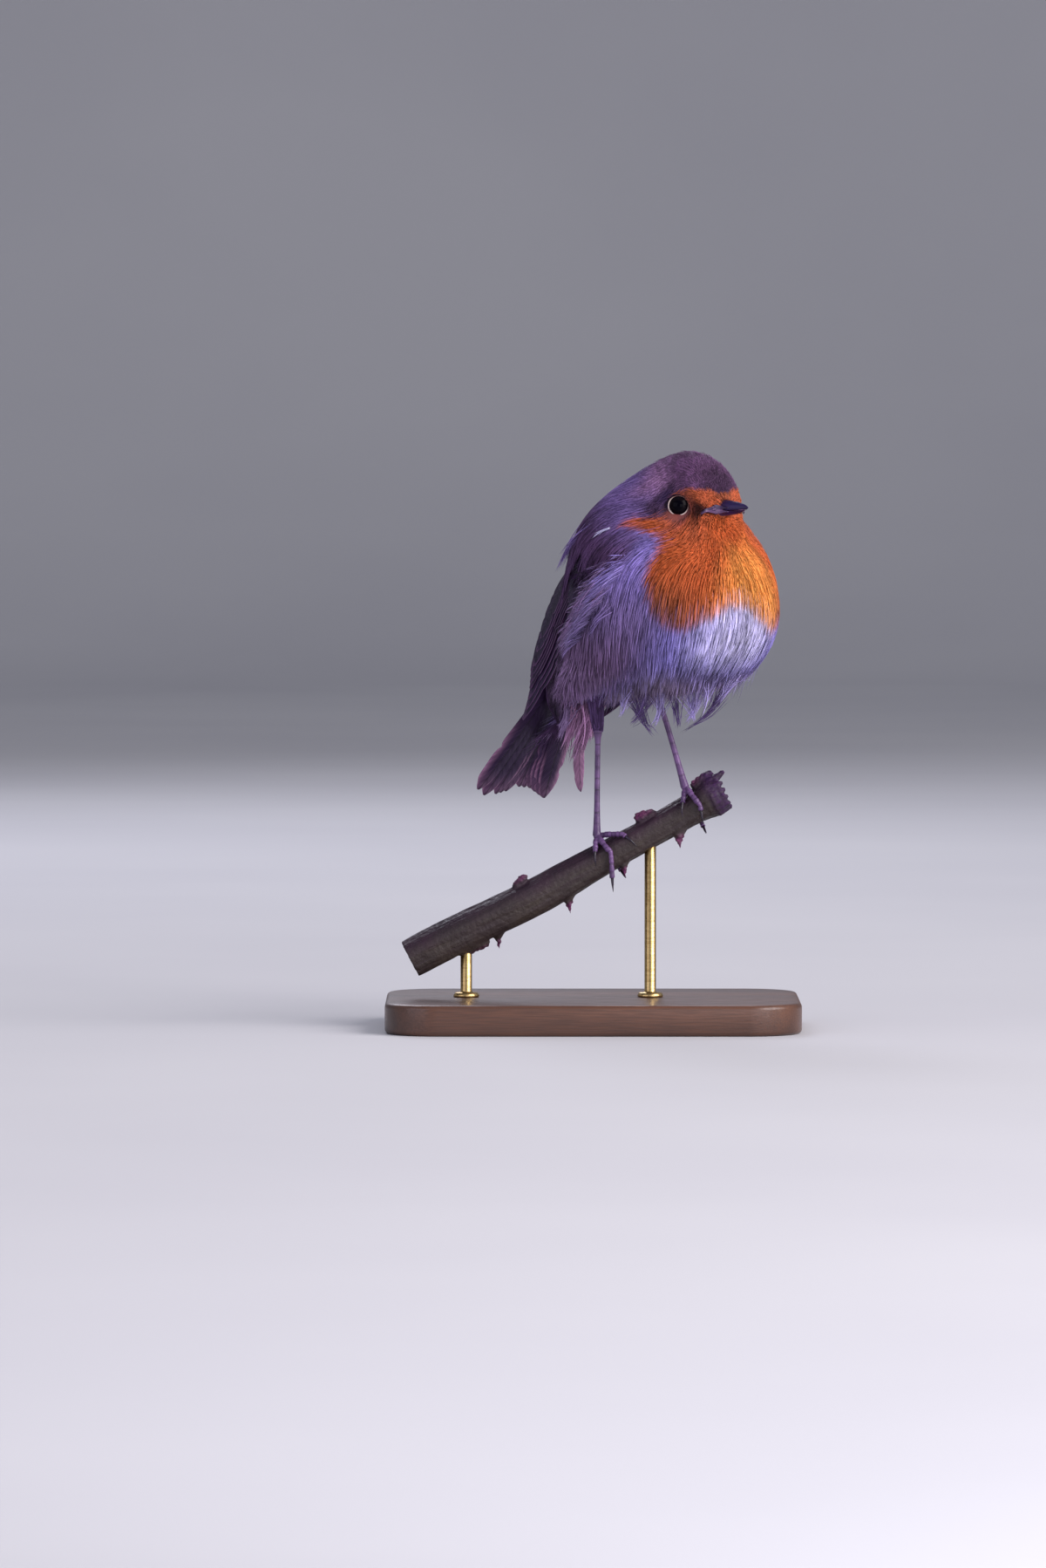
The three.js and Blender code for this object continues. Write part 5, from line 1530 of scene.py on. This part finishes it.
# %% [markdown]
# ## Eye, lids and bill
#
# The head is what an eye goes to first. The eyeball is a full sphere sunk in the head,
# of which the lids show a disc. A robin's iris is so dark that it hardly stands off
# the pupil, so a faint brown ring is enough, under a clear gloss. The lids are a
# narrow ring, swollen a little and pale below and behind. The bill is two halves of
# one blunt cone, cut along the gape, with a nostril dented into each side. Behind its
# corner the gape's bare skin shows as two thin flanges, one pale and one dark.

# %% Eyeballs and lids
def basis(axis):
    """Two directions across an axis: level and over it."""
    level = unit(np.cross(UP, axis))
    return level, np.cross(axis, level)


def eyeball(side, rings=40, sides=48):
    """A sphere round its own axis, from the pupil's pole: a ring at polar angle p has
    the radius sin p and stands cos p along the axis."""
    centre, axis = eye_place(side)
    level, over = basis(axis)
    polar = np.linspace(0.03, np.pi - 0.03, rings)[:, None, None]
    a = turns(sides)[None, :, None]
    ball = np.cos(polar) * axis + np.sin(polar) * (np.cos(a) * level + np.sin(a) * over)
    points, triangles = shells(to_stand(centre + EYE["radius"] * ball)[None])
    return points, triangles, with_poles(polar.ravel() / np.pi, sides)


def lid_ring(side, disc=2.56, thick=0.25, rings=64, sides=12):
    """The lids: a ring of round section round the eye's disc, a little wider level than
    tall, its section swollen low and behind. The ring of rings is closed."""
    centre, axis = eye_place(side)
    level, over = basis(axis)
    a = turns(rings)[:, None]
    b = turns(sides)[None]
    low = 0.5 + 0.5 * np.cos(a - math.radians(270 + 35 * side))
    section = thick * (0.35 + 0.6 * low)
    radius = disc * (1 + 0.02 * np.cos(2 * a)) + section * np.cos(b)
    out = 1.85 + 0.9 * section * np.sin(b)
    ring = np.cos(a)[..., None] * level + np.sin(a)[..., None] * over
    points = to_stand(centre + radius[..., None] * ring + out[..., None] * axis)
    i, j = grid(np.arange(rings), np.arange(sides))
    p = i * sides + j
    q = ((i + 1) % rings) * sides + j
    r = ((i + 1) % rings) * sides + (j + 1) % sides
    s = i * sides + (j + 1) % sides
    points = points.reshape(-1, 3)
    triangles = facing_out(points, split_quads(p, q, r, s), points.mean(0))
    return points, triangles, np.broadcast_to(low, (rings, sides)).ravel()


eye_material, tree, shader = new_material("dark_eye", 0.06, 0.07, IOR=1.36)
polar = kept(tree, "polar")
beyond, within = from_range(tree, polar, 0.13, 0.16), from_range(tree, polar, 0.27, 0.24)
iris = maths(tree, "MULTIPLY", beyond, within)
rays = speckle(tree, 900.0).outputs["Grain"]
brown = blend(tree, rays, tone(10, 7, 12), tone(17, 11, 15))
feed(shader, "Base Color", blend(tree, iris, tone(4, 3, 9), brown))

lid_material, tree, shader = new_material("pale_lids", 0.6, 0.3)
fine = speckle(tree, 1400.0)
pale = blend(tree, fine.outputs["Blotch"], tone(190, 166, 160), tone(226, 206, 196))
dark = blend(tree, fine.outputs["Blotch"], tone(92, 62, 62), tone(128, 92, 84))
low = from_range(tree, kept(tree, "low"), 0.25, 0.6)
feed(shader, "Base Color", blend(tree, low, dark, pale))
bump(tree, shader, fine.outputs["Grain"], 0.05, 0.5)

for name, side in (("right", -1), ("left", 1)):
    points, triangles, share = eyeball(side)
    add_piece(f"eyeball_{name}", make_mesh("eyeball", points, triangles, values={"polar": share}),
              eye_material, [f"eye_{name}"])
    points, triangles, low = lid_ring(side)
    add_piece(f"lids_{name}", make_mesh("lids", points, triangles, values={"low": low}),
              lid_material)

# %% The bill
BILL = dict(tip=18.6, length=15.0, width=5.4, depth=4.3, drop=-0.3)
GAPE_SLOPE, GAPE_LEVEL = 0.06, -4.42


def bill_half(upper, rings=70, sides=48):
    """Half of the bill. The whole is a blunt cone whose height follows a power of
    one minus another power of t; the half keeps what lies beyond the gape, by holding
    every point on its own side of the gape's line. The upper half has a low ridge, a
    faint hook and the nostrils' dents; the lower half is a little narrower."""
    t = np.linspace(0, 1, rings)[:, None]
    a = turns(sides)[None]
    taper = 0.97 * (1 - t**3.2) ** 0.75 + 0.03
    across = BILL["width"] / 2 * (1 - t) ** 0.75 + 0.1
    tall = BILL["depth"] / 2 * taper
    x = BILL["tip"] - BILL["length"] * (1 - t) + 0 * a
    y = across * np.sin(a) * (1.0 if upper else 0.92)
    z = -3.0 - BILL["drop"] * t**3 + tall * np.cos(a)
    gape = GAPE_LEVEL + GAPE_SLOPE * x + 0.1 * np.sin(np.pi * np.clip((t - 0.35) / 0.65, 0, 1))
    if upper:
        z = z + 0.16 * np.exp(-((y / 0.35) ** 2)) * (z > gape) * (1 - t)
        dent = np.exp(-(((t - 0.5) / 0.06) ** 2) - (((z - gape - 0.85) / 0.32) ** 2))
        y = y - 0.28 * dent * np.sign(y)
        z = np.maximum(z, gape + 0.05)
        z = z - 0.1 * smooth(t, 0.93, 1.0)
    else:
        z = np.minimum(z, gape - 0.05)
    points = np.stack([x, y, z], -1)
    head = np.array([HEAD_CENTRE[0], 0.0, HEAD_CENTRE[1]])
    rings_placed = to_stand(turn_head(points + head))
    made, triangles = shells(rings_placed[None])
    share = with_poles(t.ravel(), sides)
    return made, triangles, {"along": share, "under": share * 0 + (0.1 if upper else 1.0)}


bill_material, tree, shader = new_material("bill_horn", 0.32, 0.3)
layers = speckle(tree, 420.0, (0.4, 0.4, 1.6))
horn = blend(tree, layers.outputs["Blotch"], tone(25, 16, 50), tone(44, 31, 80))
# the lower bill paler towards its base: partly its own paler horn, partly a painted highlight
root_end = from_range(tree, kept(tree, "along"), 0.56, 0.36)
base = blend(tree, maths(tree, "MULTIPLY", root_end, kept(tree, "under")),
             horn, tone(94, 67, 106))
feed(shader, "Base Color", base)
feed(shader, "Roughness", from_range(tree, layers.outputs["Grain"], 0.0, 1.0, 0.26, 0.42))
bump(tree, shader, layers.outputs["Grain"], 0.03, 0.4)
for name, upper in (("bill_upper", True), ("bill_lower", False)):
    points, triangles, share = bill_half(upper)
    add_piece(f"{name}_horn", make_mesh(name, points, triangles, values=share),
              bill_material, [name])

# %% The gape's bare edge
GAPE_ON_BILL = np.array([(12.9, 1.4, -3.85), (11.3, 2.1, -3.8), (10.35, 3.2, -3.7)])
GAPE_ON_FACE = np.array([(0.06, 74), (0.10, 69), (0.16, 64.5), (0.225, 61)])


def gape_edge(side, raised, size, rings=32, sides=12):
    """A thin flange along the gape, from the bill's side back to the corner of the gape
    on the face. Its half width rises quickly and falls as a power of what is left, and
    its section is a flat ellipse with a groove."""
    bill, bill_out, bill_up = (
        np.array([on_head(x, side * (y + dy), z + dz) for x, y, z in GAPE_ON_BILL])
        for dy, dz in ((0, 0), (1, 0), (0, 1)))
    form, _, by_angle, normal = body_frame(GAPE_ON_FACE[:, 0], side * GAPE_ON_FACE[:, 1])
    t = np.linspace(0, 1, rings)
    place = spline(np.concatenate([bill, form]), t)
    out = unit(spline(np.concatenate([bill_out - bill, normal]), t))
    up = unit(spline(np.concatenate([bill_up - bill, unit(by_angle) * side]), t))
    a = turns(sides)
    half = (size * smooth(t, 0, 0.34) * (1 - smooth(t, 0.34, 1.1) ** 0.8) + 0.14)[:, None, None]
    place = place + (raised * (1 - t) ** 0.6)[:, None] * up
    groove = 0.16 * np.exp(-((np.cos(a) / 0.25) ** 2)) * (np.sin(a) > 0)
    tall = (0.3 * np.sin(a) - groove)[None, :, None] * (1 - 0.5 * t)[:, None, None]
    lift = 0.45 * smooth(t, 0.2, 0.4)[:, None, None]
    ring = place[:, None] + half * np.cos(a)[None, :, None] * up[:, None]
    ring = ring + (tall + lift) * out[:, None]
    points, triangles = shells(to_stand(ring)[None])
    rim = np.concatenate([[0.5], np.tile(np.abs(np.cos(a)), rings), [0.5]])
    return points, triangles, rim


gape_material, tree, shader = new_material("gape_skin", 0.38, 0.3)
fine = speckle(tree, 700.0)
pale = blend(tree, fine.outputs["Blotch"], tone(74, 50, 82), tone(102, 73, 108))
colour = blend(tree, from_range(tree, kept(tree, "rim"), 0.75, 0.98), pale, tone(54, 32, 58))
dusky = blend(tree, fine.outputs["Blotch"], tone(36, 22, 54), tone(56, 35, 70))
colour = blend(tree, kept(tree, "dark"), colour, dusky)
feed(shader, "Base Color", colour)
bump(tree, shader, fine.outputs["Grain"], 0.03, 0.4)
for name, side in (("right", -1), ("left", 1)):
    for which, raised, size, dark in (("pale", 0.0, 0.72, 0.0), ("dark", 1.0, 0.72, 1.0)):
        points, triangles, rim = gape_edge(side, raised, size)
        add_piece(f"gape_{which}_{name}",
                  make_mesh("gape", points, triangles, values={"rim": rim, "dark": 0 * rim + dark}),
                  gape_material)

# %% Claws
claw_material, tree, shader = new_material("claw_horn", 0.28, 0.5)
layers = speckle(tree, 500.0)
horn = blend(tree, layers.outputs["Blotch"], tone(20, 13, 26), tone(40, 28, 46))
feed(shader, "Base Color", horn)
bump(tree, shader, layers.outputs["Grain"], 0.03, 0.4)
for side, foot in FEET.items():
    for digit, toe in foot["toes"].items():
        _, tip, onward, inward = toe_path(foot, toe)
        length = CLAW_LENGTH * (1.3 if digit == 1 else 1.0)
        course = np.array([tip - 0.4 * onward, tip + 0.3 * onward,
                           tip + (0.3 + 0.5 * length) * onward + 0.1 * inward,
                           tip + (0.3 + 0.86 * length) * onward + CLAW_HOOK * inward])
        made = tube(course, lambda t: 0.56 * (1 - t) ** 0.8 + 0.04, 26, 14,
                    shape=lambda t, a: 1 - 0.22 * np.abs(np.cos(a)))
        add_piece(f"claw_{side}_{digit}_horn", make_mesh("claw", *made), claw_material,
                  [f"claw_{side}_{digit}"])

# %% [markdown]
# ## The bramble stem
#
# An old bramble stem is angular, with a ridge for every row of thorns, and its dead
# upper side has turned purple over the olive green. The stem, its thorns, dead buds,
# lifted bark and the torn end are tubes that overlap. A remesh grows them together, and
# the bark's fine furrows are then cut along each normal by a formula of the place
# along the stem and round it. Noise in the material adds what is finer still.

# %% Stem, thorns and torn end as one mesh
THORN_LENGTH, THORN_RADIUS = 3.3, 1.95
THORNS = [(-26.5, 176, 1.0), (-8.4, 172, 1.1), (6.4, 160, 1.0), (20.8, 158, 1.3)]
LUMPS = [(13.4, 18.4, 4, 0.6, -0.6, 2.1, 1.5), (-18.2, -14.6, 8, -0.8, 1.6, 1.7, 0.9),
         (-37.5, -29.0, 176, -1.4, -0.4, 2.0, 1.9), (28.4, 34.0, 0, -0.3, 0.5, 2.1, 1.7)]
SPLINTERS = 13


def stem_core(rings=180, sides=96):
    """The stem itself: round its course, with five low ridges that wander."""
    t = np.linspace(0, 1, rings)
    centre, radius, _, up = stem_at(t)
    a = turns(sides)[None]
    ridge = 0.15 * np.cos(5 * a + 2.0 * t[:, None]) + 0.1 * np.sin(23 * t[:, None] + 2 * a)
    reach = (radius[:, None] + ridge)[..., None]
    ring = np.cos(a)[..., None] * up[:, None] - np.sin(a)[..., None] * np.array([0.0, 1.0, 0.0])
    return shells((centre[:, None] + reach * ring)[None])


def grown(x0, x1, degrees, height0, height1, radius0, radius1):
    """A bud, knob or sliver of bark between two places beside the stem."""
    foot, tip = beside_stem(x0, degrees, height0), beside_stem(x1, degrees, height1)
    return tube(np.array([foot, (foot + tip) / 2, tip]),
                lambda t: (radius0 + (radius1 - radius0) * t) * (1 - 0.5 * (2 * t - 1) ** 6), 20, 20)


wood = [stem_core()]
for x, degrees, size in THORNS:
    foot = beside_stem(x, degrees, -1.0)
    tip = beside_stem(x - 1.3 * size, degrees, THORN_LENGTH * size)
    wood.append(tube(np.array([foot, foot * 0.6 + tip * 0.4, tip]),
                     lambda t, size=size: THORN_RADIUS * size * (1 - t) ** 1.4 + 0.14, 20, 18))
wood += [grown(*lump) for lump in LUMPS]
run_end = stem_at(1.0)[2]
for i in range(SPLINTERS):
    degrees = 360 / SPLINTERS * i + 24
    foot = beside_stem(31, degrees, -1.4)
    top = 0.5 + 0.5 * math.cos(math.radians(degrees))
    onward = 0.4 + 2.6 * top**2 * (0.6 + 0.4 * math.cos(i * 2.3))
    tip = over_bark(1.0, degrees, -0.5 + 0.9 * top * math.cos(i * 1.7)) + onward * run_end
    thorn = np.array([foot, (foot + tip) / 2, tip])
    wood.append(tube(thorn, lambda t: 0.3 + 1.5 * (1 - t) ** 0.8, 20, 12))
bark_mesh = settle(make_mesh("bark", *join(*wood)), voxel=BARK_VOXEL)

# %% Furrows along the bark
bark_points, bark_normals = points_and_normals(bark_mesh)
bark_t = np.interp(bark_points[:, 0] * 0.87 + bark_points[:, 2] * 0.5,
                   STEM_X * 0.87 + spline(STEM, STEM_T)[:, 1] * 0.5, STEM_T)
centre, radius, _, up = stem_at(bark_t)
off = bark_points - centre
bark_angle = np.arctan2(-off[:, 1], (off * up).sum(1))
over = np.linalg.norm(off, axis=1) - radius
furrow = np.zeros(len(bark_points))
for count, wander, phase in ((9, 5.0, 0.3), (17, 9.0, 1.9), (31, 15.0, 4.1)):
    furrow += np.sin(count * bark_angle + 2.2 * np.sin(wander * bark_t * 2 + phase) + phase) / count
knots = np.sin(61 * bark_t + 2 * np.sin(2 * bark_angle)) * np.sin(3 * bark_angle + 40 * bark_t)
crumple = np.sin(2.9 * bark_points[:, 0] + 2 * np.sin(3.1 * bark_points[:, 1]))
crumple = crumple * np.sin(3.3 * bark_points[:, 2])
bark_points = bark_points + (0.55 * furrow + 0.05 * knots)[:, None] * bark_normals
crumple = 0.3 * crumple * smooth(over, 0.5, 1.2) * smooth(over, 3.0, 2.0)
bark_points = bark_points + crumple[:, None] * bark_normals
place_points(bark_mesh, bark_points)
keep(bark_mesh, "along", bark_t)
keep(bark_mesh, "top", np.cos(bark_angle))
keep(bark_mesh, "round", bark_angle / math.pi)
keep(bark_mesh, "over", over)
keep(bark_mesh, "furrow", furrow)

bark_material, tree, shader = new_material("bramble_bark", 0.6, 0.35)
fibre = put(tree, "ShaderNodeCombineXYZ", {0: maths(tree, "MULTIPLY", kept(tree, "along"), 9.0),
                                           1: maths(tree, "MULTIPLY", kept(tree, "round"), 26.0)})
fibres = {"Vector": fibre.outputs[0], "Scale": 1.0, "Detail": 6.0}
fibres = put(tree, "ShaderNodeTexNoise", fibres).outputs[0]
spots = speckle(tree, 110.0)
olive = blend(tree, spots.outputs["Blotch"], tone(42, 34, 35), tone(64, 55, 50))
purple = blend(tree, spots.outputs["Blotch"], tone(27, 13, 28), tone(48, 27, 42))
edge = maths(tree, "MULTIPLY_ADD", spots.outputs["Blotch"], 0.5, kept(tree, "top"))
skin_tone = blend(tree, from_range(tree, edge, 0.35, 1.0), olive, purple)
grown_tone = blend(tree, spots.outputs["Grain"], tone(76, 29, 66), tone(110, 48, 90))
skin_tone = blend(tree, from_range(tree, kept(tree, "over"), 0.7, 1.5), skin_tone, grown_tone)
torn = from_range(tree, kept(tree, "along"), 0.8, 0.9)
raw_wood = blend(tree, spots.outputs["Grain"], tone(33, 13, 45), tone(62, 30, 75))
skin_tone = blend(tree, torn, skin_tone, raw_wood)
streaked = blend(tree, from_range(tree, fibres, 0.35, 0.6, 0.5, 0.0), skin_tone, tone(52, 38, 46))
feed(shader, "Base Color", streaked)
feed(shader, "Roughness", from_range(tree, spots.outputs["Grain"], 0.0, 1.0, 0.42, 0.75))
bump(tree, shader, maths(tree, "ADD", fibres, spots.outputs["Grain"]), 0.25, 0.6)
add_piece("bramble_bark", bark_mesh, bark_material, ["perch"])

# %% [markdown]
# ## The stand
#
# The base is a slab with rounded corners and a soft edge, turned out as one formula:
# an outline that is a rounded rectangle, carried up a profile that draws it in at the
# edges. The rods are lathe work, a profile of radius and height spun round. The solid
# nodes have the same sizes with fewer sides.

# %% Base and rods
BASE = dict(length=108.0, width=70.0, height=8.0, corner=14.0, edge=1.2)


def rounded_outline(half_x, half_y, corner, sides):
    """Points round a rectangle with round corners: each quarter of the turn is an arc
    about its corner's centre."""
    a = 2 * np.pi * (np.arange(sides) + 0.5) / sides
    sign_x, sign_y = np.sign(np.cos(a)), np.sign(np.sin(a))
    return np.stack([sign_x * (half_x - corner) + corner * np.cos(a),
                     sign_y * (half_y - corner) + corner * np.sin(a)], -1)


def slab(sides=160):
    """Rings of the outline up the edge's profile: a quarter round, straight, a quarter
    round, and two rings inside each face."""
    turn = np.linspace(0, np.pi / 2, 7)
    inset = np.r_[20, 3, 1 - np.sin(turn), (1 - np.sin(turn))[::-1], 3, 20] * BASE["edge"]
    low = np.r_[0, 0, 1 - np.cos(turn)] * BASE["edge"]
    height = np.r_[low, BASE["height"] - low[::-1]]
    rings = []
    for drawn, z in zip(inset, height):
        flat = rounded_outline(BASE["length"] / 2 - drawn, BASE["width"] / 2 - drawn,
                               max(BASE["corner"] - drawn, 1.0), sides)
        rings.append(np.concatenate([flat, np.full((sides, 1), z)], 1))
    return shells(np.array(rings)[None])


def lathe(x, y, radius, height, sides=48):
    """A profile of radii and heights spun round the upright at (x, y)."""
    a = turns(sides)
    radius, height = np.array(radius, float)[:, None], np.array(height, float)[:, None]
    rings = np.stack([x + radius * np.cos(a), y + radius * np.sin(a), height + 0 * a], -1)
    return shells(rings[None])


wood_material, tree, shader = new_material(
    "dark_hardwood", 0.38, 0.45, Coat_Weight=0.25, Coat_Roughness=0.18)
grain = speckle(tree, 22.0, (0.35, 4.0, 3.0))
pores = speckle(tree, 160.0, (0.12, 3.0, 3.0))
brown = blend(tree, grain.outputs["Blotch"], tone(58, 36, 28), tone(104, 68, 50))
brown = blend(tree, maths(tree, "MULTIPLY", pores.outputs["Grain"], 0.45), brown, tone(38, 24, 20))
feed(shader, "Base Color", brown)
feed(shader, "Roughness", from_range(tree, pores.outputs["Grain"], 0.0, 1.0, 0.3, 0.5))
bump(tree, shader, pores.outputs["Grain"], 0.05, 0.35)
add_piece("base_slab", make_mesh("base_slab", *slab()), wood_material, ["stand_base"])

brass_material, tree, shader = new_material("brushed_brass", 0.3, 0.5, Metallic=1.0)
brushed = speckle(tree, 300.0, (1.0, 1.0, 6.0))
metal = blend(tree, brushed.outputs["Blotch"], tone(176, 146, 92), tone(206, 178, 122))
feed(shader, "Base Color", metal)
feed(shader, "Roughness", from_range(tree, brushed.outputs["Grain"], 0.0, 1.0, 0.22, 0.4))
for place in ("low", "high"):
    low, high = (np.array(corner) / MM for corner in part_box(f"stand_rod_{place}"))
    x, y = (low + high)[:2] / 2
    wide = (high - low)[0] / 2
    radius = [wide - 0.3, wide, wide * 0.97, wide * 0.88, wide * 0.84, 1.75, 1.5, 1.5, 1.2]
    height = [low[2], low[2] + 0.25, low[2] + 0.7, low[2] + 1.1, low[2] + 1.2, low[2] + 1.22,
              low[2] + 1.6, high[2] - 0.3, high[2]]
    add_piece(f"rod_{place}", make_mesh("rod", *lathe(x, y, radius, height)), brass_material,
              [f"stand_rod_{place}"])

# %% [markdown]
# ## Floor and light
#
# The floor is one pale sheet that bends up far behind the object, so that no horizon
# shows. A large soft light over the bird's breast side is the sun behind cloud,
# a broad one from the other side fills the shade, and a cool one from behind draws the
# back's edge. The shadows of an overcast morning are violet, so the fill is too.

# %% Floor, lights and world
FLOOR_REACH, WALL, BEND = 4200.0, 3600.0, 900.0


def backdrop():
    """A sheet along X: flat in front, a quarter round and an upright behind."""
    turn = np.linspace(0, np.pi / 2, 16)
    y = np.r_[-FLOOR_REACH, WALL - BEND + BEND * np.sin(turn), WALL]
    z = np.r_[0, BEND * (1 - np.cos(turn)), WALL]
    edges = [np.stack([np.full_like(y, x), y, z], -1) for x in (-FLOOR_REACH, FLOOR_REACH)]
    i = 2 * np.arange(len(y) - 1)
    return np.stack(edges, 1).reshape(-1, 3), split_quads(i, i + 1, i + 3, i + 2)


floor_material, tree, shader = new_material("pale_floor", 0.9, 0.2)
paper = speckle(tree, 3.0)
paper = blend(tree, paper.outputs["Blotch"], tone(196, 196, 200), tone(202, 202, 205))
feed(shader, "Base Color", paper)
floor = new_object("floor", make_mesh("floor", *backdrop()))
floor.data.materials.append(floor_material)
floor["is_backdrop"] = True


def area_light(name, place, aim, size, power, colour):
    """A square soft light at a place, turned to its aim. Sizes in mm, power in watts."""
    data = bpy.data.lights.new(name, "AREA")
    data.size, data.energy, data.color = size * MM, power, colour
    light = new_object(name, data)
    place, aim = np.array(place, float), np.array(aim, float)
    x, y, z = unit(place - aim)
    light.rotation_euler = (math.acos(z), 0.0, math.atan2(y, x) + math.pi / 2)
    light.location = place * MM


BIRD = (10.0, -5.0, 110.0)
area_light("key", (1240, -780, 950), BIRD, 1300, 37.0, (1.0, 0.94, 0.95))
area_light("fill", (-1100, -1000, 350), BIRD, 1200, 6.0, (0.88, 0.84, 1.0))
area_light("rim", (-300, 1100, 900), BIRD, 700, 7.0, (0.88, 0.88, 1.0))
area_light("low", (450, -1050, 50), BIRD, 900, 6.0, (0.92, 0.9, 1.0))
world = bpy.data.worlds.new("soft_room")
world.use_nodes = True
world.node_tree.nodes["Background"].inputs["Color"].default_value = (0.80, 0.82, 0.95, 1.0)
world.node_tree.nodes["Background"].inputs["Strength"].default_value = 0.36
bpy.context.scene.world = world
bpy.context.scene.view_settings.view_transform = "Standard"

# %% Sizes and the end
low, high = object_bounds()
sizes = [list(map(float, corner)) for corner in (cad_low, cad_high, low, high)]
print("solid box ", [round(v / MM, 1) for v in sizes[0] + sizes[1]])
print("visual box", [round(v / MM, 1) for v in sizes[2] + sizes[3]])
total = sum(len(p.data.polygons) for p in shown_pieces())
coat = sum(len(p.data.polygons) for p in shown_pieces() if p.name.startswith("coat"))
print("triangles in all:", total, "in the coat:", coat)
